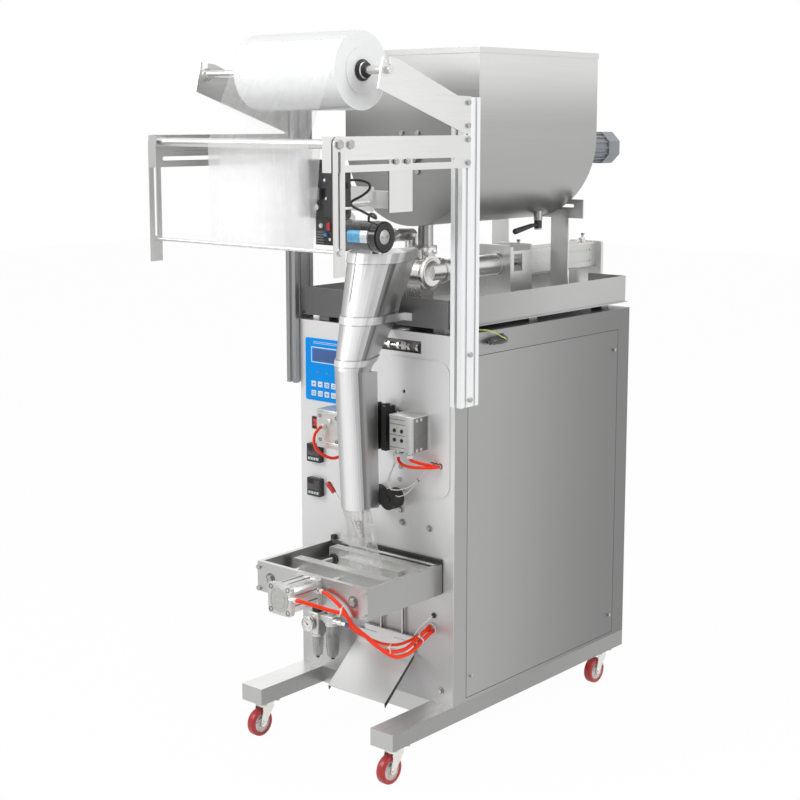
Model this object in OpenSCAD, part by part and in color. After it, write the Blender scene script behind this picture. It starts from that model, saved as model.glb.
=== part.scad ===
// Upright sauce packaging machine: stirred hopper, piston filler, film frame, forming tube and sealers.
// Seen from the front: X runs to the right, Y to the back and Z up from the floor.

/* [Base] */
// Width of a base rail
rail_w = 74; // [60:1:90]
// Height of a base rail
rail_h = 45; // [35:1:60]
// Wall of the base rails
rail_wall = 3; // [2:0.5:5]
// How far the rails reach out in front of the cabinet
leg_reach = 236; // [180:1:300]
// Height of a caster from the floor to its top plate
caster_h = 100; // [96:1:120]
// Diameter of a caster wheel
wheel_d = 75; // [60:1:76]
// Width of a caster wheel
wheel_w = 24; // [18:1:30]
// How far the wheel axle trails the swivel axis
caster_trail = 22; // [15:1:28]

/* [Cabinet] */
// Width of the cabinet
cab_w = 538; // [500:1:600]
// Depth of the cabinet
cab_d = 804; // [760:1:900]
// Height of the cabinet
cab_h = 967; // [940:1:1100]
// Thickness of the cabinet sheet
sheet = 2; // [1.5:0.5:3]
// Width of the front column beside a side cover
column_front = 55; // [55:1:80]
// Width of the rear column beside a side cover
column_rear = 58; // [40:1:80]
// Height of the band above a side cover
head_band = 59; // [50:1:80]
// Gap round a cover
cover_gap = 0.6; // [0.4:0.1:1]

/* [Control face] */
// Width of the control panel
panel_w = 160; // [150:1:170]
// Height of the control panel
panel_h = 170; // [160:1:180]
// Distance from the cabinet's left edge to the controls
panel_left = 21; // [15:1:26]
// Width of the display
lcd_w = 112; // [90:1:120]
// Height of the display
lcd_h = 41; // [30:1:48]
// Spacing of the keys
key_pitch = 24.4; // [22:0.1:26]
// Side of a key
key_w = 15; // [12:1:18]
// Width of the power rocker
rocker_w = 21; // [16:1:24]
// Height of the power rocker
rocker_h = 26; // [20:1:28]
// Side of a temperature controller's bezel
controller_w = 50; // [48:1:56]

/* [Film frame] */
// Width of one cell of the slotted posts
cell = 35; // [30:1:40]
// Width of a slot's mouth
slot_mouth = 8; // [6:0.5:10]
// How far a post hangs below the cabinet top
post_below = 175; // [140:1:220]
// How far a post stands above the cabinet top
post_above = 588; // [560:1:640]
// Thickness of the arms and side plates
arm_t = 3; // [2:0.5:3]
// Reach of the level side plates in front of the cabinet
plate_reach = 480; // [478:1:520]
// Height of the level side plates
plate_h = 79; // [70:1:90]
// Distance from the cabinet front to the roll shaft
roll_reach = 295; // [280:1:310]
// Height of the roll shaft above the post tops
roll_rise = 58; // [52:1:64]
// Diameter of the film roll
roll_d = 182; // [120:1:190]
// Width of the film
film_w = 330; // [260:1:340]
// Diameter of the roll core
core_d = 106; // [80:1:110]
// Diameter of the roll shaft
shaft_d = 20; // [16:1:24]
// Diameter of a guide roller
roller_d = 20; // [18:1:24]
// Length of a dancer bar below its pivot
dancer_len = 293; // [260:1:320]
// Width of a dancer bar
dancer_w = 36; // [30:1:38]

/* [Forming tube] */
// Offset of the machine line from the cabinet centre
line_x = 62; // [56:1:68]
// Outer radius of the lower tube
tube_r = 39; // [34:0.5:39]
// Outer radius of the cone at its mouth
mouth_r = 71; // [64:1:74]
// Wall of the forming tube
tube_wall = 1.5; // [1:0.25:2]
// Lean of the lower tube
tube_lean = 3.5; // [2.5:0.25:4]
// Lean of the cone
cone_lean = 19.5; // [18:0.5:21]
// Width of the slit between the seam flanges
slit = 2.4; // [2:0.2:3]
// Outer radius of the filling nozzle
nozzle_r = 17; // [14:0.5:18]

/* [Sealers] */
// Offset of the cross sealer from the cabinet centre
jaw_x = 44; // [40:1:48]
// Width of the cross sealer frame
jaw_frame_w = 382; // [370:1:400]
// Depth of the cross sealer frame
jaw_frame_d = 289; // [280:1:300]
// Height of the cross sealer frame
jaw_frame_h = 79; // [72:1:86]
// Thickness of the cross sealer plates
jaw_plate = 12; // [10:1:14]
// Travel of each cross jaw
jaw_stroke = 32; // [24:1:32]
// Bore of the cross sealer's air cylinder
jaw_bore = 60; // [50:1:64]
// Travel of each seam jaw
seam_stroke = 6; // [4:0.5:8]
// Radius of a pulling roller
pull_r = 27; // [24:0.5:28]

/* [Filler] */
// Distance from the cabinet top to the tray
tray_lift = 14; // [10:1:20]
// Height of the tray wall
tray_wall_h = 75; // [60:1:90]
// Height of the filler axis above the cabinet top
filler_rise = 138; // [134:1:142]
// Outer diameter of the product cylinder
product_d = 58; // [50:1:60]
// Side of the filler's air cylinder
air_side = 74; // [68:1:78]
// Length of the filler's air cylinder
air_len = 348; // [320:1:370]
// Width of the filler's end plates
filler_plate_w = 114; // [100:1:130]
// Travel of the filling piston
filler_stroke = 150; // [100:1:170]
// Outer radius of the rotary valve
valve_r = 41; // [38:0.5:42]

/* [Hopper] */
// Half width of the hopper
hopper_r = 224; // [205:1:230]
// Length of the hopper
hopper_len = 520; // [500:1:540]
// Height of the hopper
hopper_h = 449; // [420:1:480]
// Height of the hopper bottom above the cabinet top
hopper_rise = 262; // [260:1:290]
// Wall of the hopper
hopper_wall = 2; // [1.5:0.5:3]
// Reach of the stirrer paddles
paddle_r = 170; // [150:1:180]
// Diameter of the stirrer shaft
stirrer_d = 25; // [20:1:30]

/* [Hidden] */
$fn = 48;

// Clearances: running fit of a shaft, gap beside a moving piece, play of a bolt in its hole
run = 0.06;
gap = 0.3;
play = 0.06;
bolt_r = 4;
bolt_head = 5;

// Levels from the floor up
half_w = cab_w / 2;
rail_x = (cab_w - rail_w) / 2;
cab_z0 = caster_h + rail_h;
cab_z1 = cab_z0 + cab_h;
cover_y1 = cab_d - column_rear;
cover_z0 = cab_z0 + 10;
cover_z1 = cab_z1 - head_band;
lip = 20;

// Casters
caster_plate = 60;
caster_plate_t = 4;
caster_hole = 24;
caster_y = [50 - leg_reach, cab_d - 70];
pin_r = 6;
wheel_r = wheel_d / 2;
fork_t = 2.5;
hub_half = wheel_w / 2 + 1.5;
axle_r = 4;

// Control face
panel_x = -half_w + panel_left;
panel_z = cab_z1 - 218;
panel_t = 2;
rocker_x = panel_x + 37;
rocker_z = cab_z1 - 280;
rocker_y = 5;
controller_x = panel_x + 38;
controller_z = [cab_z1 - 362, cab_z1 - 457];
controller_out = 14;
controller_body = controller_w - 6;
raised_t = 4;
raised_x = [3, 256];
raised_z = [cab_z1 - 418, cab_z1 - 67];
window_x = [-4, 160];
window_z = [cab_z1 - 54, cab_z1 - 22];
hose_gland = [200, cab_z0 + 197];
hose_gland_r = 16;
wire_gland_x = [200, 213, 226];
wire_gland_z = cab_z1 - 336;
gland_out = 3;
sight_hole = [106, cab_z1 - 156];

// Film frame
frame_x = half_w + cell;
frame_out = frame_x + arm_t;
post_front = 18;
slot_y = cell / 2 - post_front;
post_z0 = cab_z1 - post_below;
post_z1 = cab_z1 + post_above;
post_bolt_z = [cab_z1 - 157, cab_z1 - 43];
plate_rear = slot_y + 11;
plate_z1 = post_z1 - 91;
plate_z0 = plate_z1 - plate_h;
plate_slot_z = plate_z0 + 21;
pin_z = plate_z1 - 17;
pin_front = 18 - plate_reach;
pin_second = pin_front + 41;
roller_r = roller_d / 2;
roller_half = frame_x - 4;
dancer_gap = 1.5;
dancer_t = 4;
dancer_x = frame_out + dancer_gap;
dancer_out = dancer_x + dancer_t;
edge_x = dancer_out + gap + bolt_head;
rod_r = 4;
rod_z = pin_z - dancer_len + 55;
roll_y = -roll_reach;
roll_z = post_z1 + roll_rise;
roll_r = roll_d / 2;
shaft_r = shaft_d / 2;
core_bore = 21.3;
core_out = 2;
arm_bolt_z = [post_z1 - 68, post_z1 - 13];
plate_bolt_z = [plate_z0 + 13, plate_z1 - 10];

// Coder
coder_z = plate_z0 - 90;
channel_y = -245;
channel_d = 30;
coder_plate_t = 6;
hanger_y = [-286, -204];
hanger_bolt_y = [-266, -226];
coder_rod_x = [195, 211];
coder_rod_r = 5;
coder_t = 40;
coder_gap = 37;
coder_front = pin_front + coder_gap;
coder_rear = coder_front + coder_t;
coder_x = [150, 275];
coder_h = 115;
head_stroke = 8;
motor_y = -135;
motor_z = cab_z1 + 250;
motor_r = 39;
motor_x = [24, 157];

valve_y = 134;
// Forming tube: bottom and mouth centres in the plane of the machine line
tube_low = [-138, cab_z1 - 441];
mouth = [-65, cab_z1 + 179];
collar_h = 26;
mitre_turn = (tube_lean - cone_lean) / 2;
tan_low = tan(tube_lean);
tan_cone = tan(cone_lean);
knee_z = (tube_low[0] - mouth[0] + tan_low * tube_low[1] + tan_cone * mouth[1]) / (tan_low + tan_cone);
knee = [tube_low[0] - tan_low * (knee_z - tube_low[1]), knee_z];
cone_len = (mouth[1] - knee[1]) / cos(cone_lean);
lap = 1;
cone_rate = (mouth_r - tube_r - lap) / cone_len;
seam_half = slit / 2 + tube_wall;
seam_edge = [
    [-55, cab_z1 - 459], [-60, cab_z1 - 101], [-74, cab_z1 - 78], [14, cab_z1 + 25], [92, cab_z1 + 182]
];
strap_z = cab_z1 + 38;
strap_x = 46;
clip_z = cab_z1 - 66;
feed_x = 12;
feed_top = cab_z1 + 190;
feed_path = [[feed_x, valve_y, feed_top], [feed_x, valve_y, feed_top + 44], [feed_x + 4, 64, feed_top + 48]];
nozzle_path = [[-48, cab_z1 + 226], knee, [-136, cab_z1 - 472]];
nozzle_tip = [-113, cab_z1 - 550];
tip_r = 6;

// Seam sealer and pulling rollers
block_x = [113, 191];
block_y = [-68, -raised_t];
block_z = [cab_z1 - 297, cab_z1 - 206];
seam_rod_z = cab_z1 - 252;
seam_rod_y = -34;
seam_rod_r = 5;
bar_w = 16;
bar_y = [-50, -14];
bar_z0 = cab_z1 - 308;
bar_z1 = cab_z1 - 192;
seam_close = 0.5;
left_x = [-144, -60];
left_z = [cab_z1 - 325, cab_z1 - 222];
pull_z = cab_z1 - 436;
pull_y = [-51, -14];
pull_box_y = -12;
pull_shaft_r = 6;
lever_x = -60;
lever_z = cab_z1 - 472;
lever_y = -60;
knob_out = [-48, 46];

// Cross sealer
jaw_drop = 669;
jaw_z0 = cab_z1 - jaw_drop;
jaw_z1 = jaw_z0 + jaw_frame_h;
jaw_axis_z = jaw_z0 + 42;
jaw_left = jaw_x - jaw_frame_w / 2;
jaw_right = jaw_x + jaw_frame_w / 2;
gasket = 2;
guide_x = 144;
guide_z = jaw_z0 + 39;
guide_r = 7;
jaw_meet = -106;
jaw_close = 0.8;
jaw_half = 162;
jaw_carrier = 30;
jaw_bar = 22;
jaw_side = 78;
jaw_len = 111;
jaw_rod_r = 8;
jaw_head = 12;

// Chute
chute_half = 100;
chute_top = [-6, cab_z0 + 117];
chute_low = [-124, cab_z0 + 15];
hanger_z = [cab_z0 + 151, cab_z0 + 166];
hanger_half = 91;
hanger_rod = [-14, 61];

// Air unit
air_y = -45;
air_top = cab_z0 + 177;
filter_x = -169;
oiler_x = -113;
bowl_r = [17, 20];
air_body = 38;
gauge_r = 19;
gauge_z = cab_z0 + 145;
port_r = 6;

// Tray and filler
tray_z0 = cab_z1 + tray_lift;
tray_half = 248;
tray_d = cab_d + 9;
filler_y = [430, 521];
filler_t = [12, 9];
channel_h = 22;
filler_z = cab_z1 + filler_rise;
air_y0 = filler_y[1] + filler_t[1];
air_y1 = air_y0 + air_len;
piston_rod_r = 10;
product_wall = 3;
valve_x = [-10, 80];
valve_cap = 6;
rotor_r = 28;
rotor_stem = 8;
spigot_r = 20;
port_d = 13;
spigot_top = cab_z1 + 204;
ferrule_r = 30;
ferrule_t = 5;
product_y0 = valve_y + valve_r + 12;
air_bore = air_side / 2 - 7;

// Hopper
hopper_y = 70;
hopper_y1 = hopper_y + hopper_len;
hopper_z0 = cab_z1 + hopper_rise;
hopper_z1 = hopper_z0 + hopper_h;
stirrer_rise = 452;
stirrer_z = cab_z1 + stirrer_rise;
rim_h = 14;
flange_r = 36;
drive_len = 394;
drive_flange = 10;
gearbox = 96;
stirrer_end = hopper_y1 + 50;
lever_at = [150, hopper_y1 - 77];
lever_stud_r = 5;

// The frame's origin lies under the middle of the machine's outline
front_end = -plate_reach - arm_t;
rear_end = hopper_y1 + drive_len;
mid_y = (front_end + rear_end) / 2;

// Film path round roll, rollers and dancer rod
film_t = 0.4;
film_off = gap + film_t / 2;
roll_c = [roll_y, roll_z];
front_c = [pin_front, pin_z];
second_c = [pin_second, pin_z];
rod_c = [pin_front, rod_z];
film_roll_r = roll_r + film_off;
film_pin_r = roller_r + film_off;
film_rod_r = rod_r + film_off;
normal_a = belt_out(roll_c, film_roll_r, front_c, film_pin_r, -1);
normal_b = belt_out(front_c, film_pin_r, rod_c, film_rod_r, -1);
normal_c = belt_cross(rod_c, film_rod_r, second_c, film_pin_r, -1);
sheet_end = [mouth[0] - mouth_r - 5, mouth[1] + 9];
normal_d = belt_out(second_c, film_pin_r, sheet_end, 0, 1);

// Hoses and wires
hose_r = 4;
wire_r = 1.5;
cable_r = 3;
jaw_hose_a = [
    [93, -394, 492], [98, -394, 492], [110, -391, 492], [128, -376, 485], [152, -350, 472],
    [172, -325, 461], [182, -309, 452], [190, -298, 430], [200, -270, 400], [212, -220, 352],
    [216, -175, 331], [210, -120, 322], [202, -80, 325], [197, -50, 333], [196, -20, 343],
    [195, -8, 347], [195, -3, 347]
];
jaw_hose_b = [
    [93, -301, 492], [98, -301, 492], [110, -301, 490], [135, -302, 480], [162, -302, 464],
    [182, -299, 441], [193, -288, 417], [207, -255, 386], [220, -210, 341], [225, -170, 318],
    [219, -118, 311], [211, -78, 315], [206, -48, 323], [205, -20, 333], [205, -8, 337],
    [205, -3, 337]
];
unit_hose = [
    [-50, -57, 310], [-45, -57, 310], [-33, -58, 308], [0, -64, 300], [50, -68, 295],
    [95, -68, 294], [135, -60, 300], [165, -46, 315], [182, -28, 330], [191, -16, 336],
    [193, -8, 338], [193, -3, 338]
];
block_hose_a = [
    [125, -48, 801], [125, -48, 797], [126, -49, 790], [134, -53, 782], [152, -56, 777],
    [175, -52, 775], [197, -42, 775], [213, -28, 775], [223, -18, 776], [226, -11, 776],
    [226, -7, 776]
];
block_hose_b = [
    [163, -48, 801], [163, -48, 797], [166, -47, 791], [176, -44, 788], [191, -36, 784],
    [204, -24, 780], [210, -18, 778], [213, -11, 776], [213, -7, 776]
];
loop_hose = [
    [-114, -78, 846], [-114, -82, 846], [-116, -89, 842], [-124, -95, 828], [-128, -96, 808],
    [-122, -94, 788], [-108, -84, 772], [-92, -66, 762], [-82, -53, 764], [-77, -45, 768],
    [-77, -44, 773], [-77, -44, 778]
];
coder_cable = [
    [230, -385, 1505], [230, -380, 1505], [238, -362, 1509], [262, -340, 1509], [286, -336, 1502],
    [287, -336, 1489], [268, -340, 1474], [240, -344, 1460], [226, -326, 1448], [222, -290, 1435],
    [220, -258, 1423], [205, -222, 1414], [165, -180, 1418], [125, -150, 1419], [107, -137, 1411],
    [104, -135, 1405], [104, -135, 1400]
];
bar_wire = [
    [92, -30, 800], [98, -34, 770], [98, -56, 735], [106, -60, 712], [126, -50, 708],
    [150, -32, 718], [172, -16, 742], [190, -16, 765], [200, -11, 776], [200, -7, 776]
];
earth_wire = [
    [250, 104, 1126], [250, 104, 1121], [254, 107, 1118], [264, 116, 1117], [274, 130, 1115],
    [284, 148, 1107], [290, 168, 1096], [291, 182, 1090], [287, 189, 1087], [282, 190, 1087],
    [277, 190, 1087]
];

function unit(v) = v / norm(v);
function turn(v) = atan2(v[1], v[0]);
function arc(c, r, a0, a1, n) = [for (i = [0:n]) let(a = a0 + (a1 - a0) * i / n) c + r * [cos(a), sin(a)]];
function side_of(p, i) = let(
    d = unit(p[min(i + 1, len(p) - 1)] - p[max(i - 1, 0)])
) [-d[1], d[0]];
function ribbon(p, t) = concat(
    [for (i = [0:len(p) - 1]) p[i] + t / 2 * side_of(p, i)],
    [for (i = [len(p) - 1:-1:0]) p[i] - t / 2 * side_of(p, i)]
);

module at_origin() {
    translate([0, -mid_y, 0]) children();
}

module both_sides() {
    for (m = [0, 1]) {
        mirror([m, 0, 0]) children();
    }
}

// Box between two corners
module block(p, q) {
    translate(p) cube(q - p);
}

// Turns +Z of its children along d, at point p
module aim(p, d) {
    translate(p) rotate([0, acos(d[2] / norm(d)), atan2(d[1], d[0])]) children();
}

module rod(a, b, r) {
    aim(a, b - a) cylinder(h = norm(b - a), r = r);
}

module bar_x(x0, x1, y, z, r) {
    translate([x0, y, z]) rotate([0, 90, 0]) cylinder(h = x1 - x0, r = r);
}

module bar_y(y0, y1, x, z, r) {
    translate([x, y0, z]) rotate([-90, 0, 0]) cylinder(h = y1 - y0, r = r);
}

module bar_z(z0, z1, x, y, r) {
    translate([x, y, z0]) cylinder(h = z1 - z0, r = r);
}

// Plate between two X levels, its outline given in Y and Z
module plate_yz(x0, x1) {
    translate([x0, 0, 0]) rotate([90, 0, 90]) linear_extrude(x1 - x0) children();
}

// Plate between two Y levels, its outline given in X and Z
module plate_xz(y0, y1) {
    translate([0, y1, 0]) rotate([90, 0, 0]) linear_extrude(y1 - y0) children();
}

module rounded(p, q, r) {
    translate([p[0] + r, p[1]]) square([q[0] - p[0] - 2 * r, q[1] - p[1]]);
    translate([p[0], p[1] + r]) square([q[0] - p[0], q[1] - p[1] - 2 * r]);
    for (x = [p[0] + r, q[0] - r], y = [p[1] + r, q[1] - r]) {
        translate([x, y]) circle(r);
    }
}

module slot(a, b, r) {
    translate(a) circle(r);
    translate(b) circle(r);
    translate(a) rotate(turn(b - a)) translate([0, -r]) square([norm(b - a), 2 * r]);
}

// Hexagon bolt whose head sits at p and points along d
module bolt(p, d, grip, r = bolt_r) {
    aim(p, d) {
        cylinder(h = bolt_head, r = 1.8 * r, $fn = 6);
        translate([0, 0, -grip]) cylinder(h = grip, r = r);
    }
}

// Round tube along a route
module hose(route, r, ref) {
    n = 8;
    last = len(route) - 1;
    rings = [for (i = [0:last]) let(
        t = unit(route[min(i + 1, last)] - route[max(i - 1, 0)]),
        u = unit(cross(t, ref)),
        v = cross(t, u)
    ) for (k = [0:n - 1]) route[i] + r * (cos(360 * k / n) * u + sin(360 * k / n) * v)];
    walls = [for (i = [0:last - 1], k = [0:n - 1]) let(
        a = i * n + k,
        b = i * n + (k + 1) % n
    ) each [[a, a + n, b + n], [a, b + n, b]]];
    ends = [[for (k = [0:n - 1]) k], [for (k = [n - 1:-1:0]) last * n + k]];
    polyhedron(points = rings, faces = concat(walls, ends));
}

module base_frame() {
    inner = rail_x - rail_w / 2;
    color("silver") at_origin() {
        both_sides() {
            difference() {
                block([inner, -leg_reach, caster_h], [half_w, cab_d, cab_z0]);
                block([inner + rail_wall, rail_wall - leg_reach, caster_h + rail_wall],
                    [half_w - rail_wall, cab_d - rail_wall, cab_z0 - rail_wall]);
            }
            for (y = caster_y) {
                caster_seat(y);
            }
        }
        for (y = [0, cab_d - rail_h]) {
            difference() {
                block([-inner, y, caster_h], [inner, y + rail_h, cab_z0]);
                block([-inner - 1, y + rail_wall, caster_h + rail_wall],
                    [inner + 1, y + rail_h - rail_wall, cab_z0 - rail_wall]);
            }
        }
    }
}

module caster_seat(y) {
    h = caster_plate / 2;
    z = caster_h - caster_plate_t;
    difference() {
        block([rail_x - h, y - h, z], [rail_x + h, y + h, caster_h]);
        for (dx = [-caster_hole, caster_hole], dy = [-caster_hole, caster_hole]) {
            bar_z(z - 1, caster_h, rail_x + dx, y + dy, bolt_r - 1 + play);
        }
    }
    bar_z(z - 12.5, z, rail_x, y, pin_r);
    bar_z(z - 16, z - 12.5, rail_x, y, pin_r + 4);
}

module fork(side, y) {
    z = caster_h - caster_plate_t - gap;
    out = hub_half + 0.5;
    color("silver") at_origin() translate([side * rail_x, y, 0]) difference() {
        union() {
            bar_z(z - 12 + gap, z, 0, 0, 22);
            both_sides() plate_yz(out, out + fork_t) {
                polygon([
                    [16, z], [-18, z], [-caster_trail - 10, wheel_r], [-caster_trail + 10, wheel_r], [16, z - 20]
                ]);
                translate([-caster_trail, wheel_r]) circle(10);
            }
            bar_x(-out - fork_t - 4, out + fork_t + 4, -caster_trail, wheel_r, axle_r);
            both_sides() bar_x(out + fork_t, out + fork_t + 3, -caster_trail, wheel_r, axle_r + 3, $fn = 6);
        }
        bar_z(z - 20, z + 1, 0, 0, pin_r + run);
        bar_z(z - 20, z - 12 + gap, 0, 0, pin_r + 5);
    }
}

module wheel(side, y) {
    w = wheel_w / 2;
    rim = wheel_r - 11.5;
    color("firebrick") at_origin() translate([side * rail_x, y - caster_trail, wheel_r]) rotate([0, 90, 0])
        rotate_extrude() polygon([
            [axle_r + run, -hub_half], [12, -hub_half], [14, 3 - w], [rim - 2, 3 - w], [rim, -w], [wheel_r - 2.5, -w],
            [wheel_r, 4 - w], [wheel_r, w - 4], [wheel_r - 2.5, w], [rim, w], [rim - 2, w - 3], [14, w - 3],
            [12, hub_half], [axle_r + run, hub_half]
        ]);
}

module fork_front_left() {
    fork(-1, caster_y[0]);
}

module fork_front_right() {
    fork(1, caster_y[0]);
}

module fork_rear_left() {
    fork(-1, caster_y[1]);
}

module fork_rear_right() {
    fork(1, caster_y[1]);
}

module wheel_front_left() {
    wheel(-1, caster_y[0]);
}

module wheel_front_right() {
    wheel(1, caster_y[0]);
}

module wheel_rear_left() {
    wheel(-1, caster_y[1]);
}

module wheel_rear_right() {
    wheel(1, caster_y[1]);
}

module cabinet_shell() {
    in = half_w - sheet;
    ledge = 12;
    color("gainsboro") at_origin() {
        difference() {
            block([-half_w, sheet, cab_z0], [half_w, cab_d, cab_z1]);
            block([-in, 2 * sheet, cab_z0 + sheet], [in, cab_d - sheet, cab_z1 - sheet]);
            block([-half_w + lip, 0, cab_z0 + lip], [half_w - lip, 3 * sheet, cab_z1 - lip]);
            block([-half_w - 1, column_front - cover_gap, cover_z0 - cover_gap],
                [half_w + 1, cover_y1 + cover_gap, cover_z1 + cover_gap]);
            plate_xz(cab_d - 2 * sheet, cab_d + 1) rear_outline(cover_gap);
            both_sides() for (z = post_bolt_z) {
                bar_x(in - 1, half_w + 1, cell - post_front, z, bolt_r + play);
            }
        }
        both_sides() plate_yz(in - sheet, in) difference() {
            translate([column_front - 6, cover_z0 - 6])
                square([cover_y1 - column_front + 12, cover_z1 - cover_z0 + 12]);
            translate([column_front + ledge, cover_z0 + ledge])
                square([cover_y1 - column_front - 2 * ledge, cover_z1 - cover_z0 - 2 * ledge]);
        }
        plate_xz(cab_d - 2 * sheet, cab_d - sheet) difference() {
            rear_outline(6);
            rear_outline(-ledge);
        }
    }
}

module rear_outline(grow) {
    w = half_w - lip * 2 + grow;
    translate([-w, cab_z0 + 2 * lip - grow]) square([2 * w, cab_h - 4 * lip + 2 * grow]);
}

module front_panel() {
    color("whitesmoke") at_origin() {
        plate_xz(0, sheet) difference() {
            translate([-half_w, cab_z0]) square([cab_w, cab_h]);
            panel_holes();
        }
        plate_xz(-raised_t, 0) difference() {
            rounded([raised_x[0], raised_z[0]], [raised_x[1], raised_z[1]], 36);
            panel_holes();
        }
        bar_y(-gland_out, 0, hose_gland[0], hose_gland[1], hose_gland_r);
        for (x = wire_gland_x) {
            bar_y(-raised_t - gland_out, -raised_t, x, wire_gland_z, 5.5);
        }
        difference() {
            plate_xz(pull_box_y, 0) rounded([line_x - 44, pull_z - 22], [line_x + 44, raised_z[0] - 1], 6);
            for (s = [-1, 1]) {
                bar_y(pull_box_y - 1, -2, line_x + s * (pull_r + gap), pull_z, pull_shaft_r + run);
            }
        }
        difference() {
            bar_y(-14, 0, lever_x, lever_z, 12);
            bar_y(-15, -2, lever_x, lever_z, pull_shaft_r + run);
        }
    }
}

module panel_holes() {
    translate([window_x[0], window_z[0]]) square([window_x[1] - window_x[0], window_z[1] - window_z[0]]);
    translate(sight_hole) circle(5);
    translate([rocker_x - rocker_w / 2 - 2, rocker_z - rocker_h / 2 - 2]) square([rocker_w + 4, rocker_h + 4]);
    for (z = controller_z) {
        translate([controller_x - controller_body / 2, z - controller_body / 2]) square(controller_body);
    }
}

module side_covers() {
    color("lightgray") at_origin() both_sides() plate_yz(half_w - sheet, half_w) difference() {
        translate([column_front, cover_z0]) square([cover_y1 - column_front, cover_z1 - cover_z0]);
        for (p = cover_screws()) {
            translate(p) circle(3 + play);
        }
    }
}

function cover_screws() = [
    for (y = [column_front + 20, cover_y1 - 20], z = [cover_z0 + 56, cover_z1 - 56]) [y, z]
];

module rear_cover() {
    color("lightgray") at_origin() plate_xz(cab_d - sheet, cab_d) difference() {
        rear_outline(0);
        for (z = [0:5]) {
            slot([-90, cab_z0 + 180 + 22 * z], [90, cab_z0 + 180 + 22 * z], 4);
        }
    }
}

module control_panel() {
    color("dodgerblue") at_origin() {
        plate_xz(-panel_t, 0) rounded([panel_x, panel_z], [panel_x + panel_w, panel_z + panel_h], 6);
        plate_xz(-panel_t - 1, -panel_t) rounded([panel_x + (panel_w - lcd_w) / 2, panel_z + 105],
            [panel_x + (panel_w + lcd_w) / 2, panel_z + 105 + lcd_h], 3);
        h = key_w / 2;
        for (i = [-2:2], row = [0, 1]) {
            x = panel_x + panel_w / 2 + i * key_pitch;
            z = panel_z + 20 + row * (key_w + 10.6);
            plate_xz(-panel_t - 0.8, -panel_t) rounded([x - h, z - h + 1], [x + h, z + h - 1], 2);
        }
    }
}

module panel_instruments() {
    frame = 3;
    deep = 18;
    color("black") at_origin() {
        difference() {
            union() {
                plate_xz(-2.5, 0) rounded([rocker_x - rocker_w / 2 - frame - 1, rocker_z - rocker_h / 2 - frame - 1],
                    [rocker_x + rocker_w / 2 + frame + 1, rocker_z + rocker_h / 2 + frame + 1], 2);
                plate_xz(0, deep) translate([rocker_x - rocker_w / 2 - 2, rocker_z - rocker_h / 2 - 2])
                    square([rocker_w + 4, rocker_h + 4]);
            }
            block([rocker_x - rocker_w / 2 - gap, -3, rocker_z - rocker_h / 2 - gap],
                [rocker_x + rocker_w / 2 + gap, deep - 1.5, rocker_z + rocker_h / 2 + gap]);
        }
        bar_x(rocker_x - rocker_w / 2 - 1, rocker_x + rocker_w / 2 + 1, rocker_y, rocker_z, 1.5);
        for (z = controller_z) {
            controller(z);
        }
    }
}

module controller(z) {
    h = controller_w / 2;
    x = controller_x;
    difference() {
        plate_xz(-controller_out, 0) rounded([x - h, z - h], [x + h, z + h], 3);
        block([x - h + 4, -controller_out - 1, z - h + 12], [x + h - 4, 1.5 - controller_out, z + h - 4]);
    }
    plate_xz(0.5 - controller_out, 2 - controller_out) rounded([x - h + 8, z], [x + h - 8, z + h - 8], 1.5);
    for (i = [-1.5:1.5]) {
        block([x + i * 10 - 3.5, -controller_out - 0.8, z - h + 4], [x + i * 10 + 3.5, -controller_out, z - h + 9]);
    }
    plate_xz(0, 60) translate([x - controller_body / 2, z - controller_body / 2]) square(controller_body);
}

module power_rocker() {
    r = rocker_h / 2 - 0.2;
    color("red") at_origin() plate_yz(rocker_x - rocker_w / 2, rocker_x + rocker_w / 2) difference() {
        intersection() {
            translate([rocker_y, rocker_z]) circle(r);
            translate([rocker_y, rocker_z]) polygon([[-9.5, -r], [-6, 0], [-9.5, r], [6, r], [6, -r]]);
        }
        translate([rocker_y, rocker_z]) circle(1.5 + run);
    }
}

// Slotted post
module t_slot() {
    depth = 3;
    translate([-1, -slot_mouth / 2]) square([depth + 2, slot_mouth]);
    polygon([[depth, -9], [6.5, -9], [12, -4.5], [12, 4.5], [6.5, 9], [depth, 9]]);
}

module post_section() {
    difference() {
        square([cell, 2 * cell]);
        for (k = [0, 1]) {
            translate([cell / 2, cell / 2 + k * cell]) {
                circle(3.4);
                for (a = [0, 180, k == 0 ? 270 : 90]) {
                    rotate(a) translate([cell / 2, 0]) mirror([1, 0]) t_slot();
                }
            }
        }
    }
}

module posts() {
    color("silver") at_origin() both_sides() difference() {
        translate([half_w, -post_front, post_z0]) linear_extrude(post_z1 - post_z0) post_section();
        for (z = post_bolt_z) {
            bar_x(half_w - 1, frame_x + 1, cell - post_front, z, bolt_r + play);
        }
    }
}

module roll_arms() {
    notch = shaft_r + run;
    color("lightgray") at_origin() both_sides() plate_yz(frame_x, frame_out) difference() {
        polygon([
            [roll_y - 33, roll_z - 42], [roll_y - 15, roll_z + 27], [roll_y - 12, roll_z + 30],
            [roll_y + 33, roll_z + 26], [-40, post_z1 + 3], [plate_rear, post_z1 + 2],
            [plate_rear, plate_z1 + 3], [slot_y - 10, plate_z1 + 3]
        ]);
        slot([roll_y, roll_z], [roll_y, roll_z + 60], notch);
        for (z = arm_bolt_z) {
            translate([slot_y, z]) circle(bolt_r + play);
        }
    }
}

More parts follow.
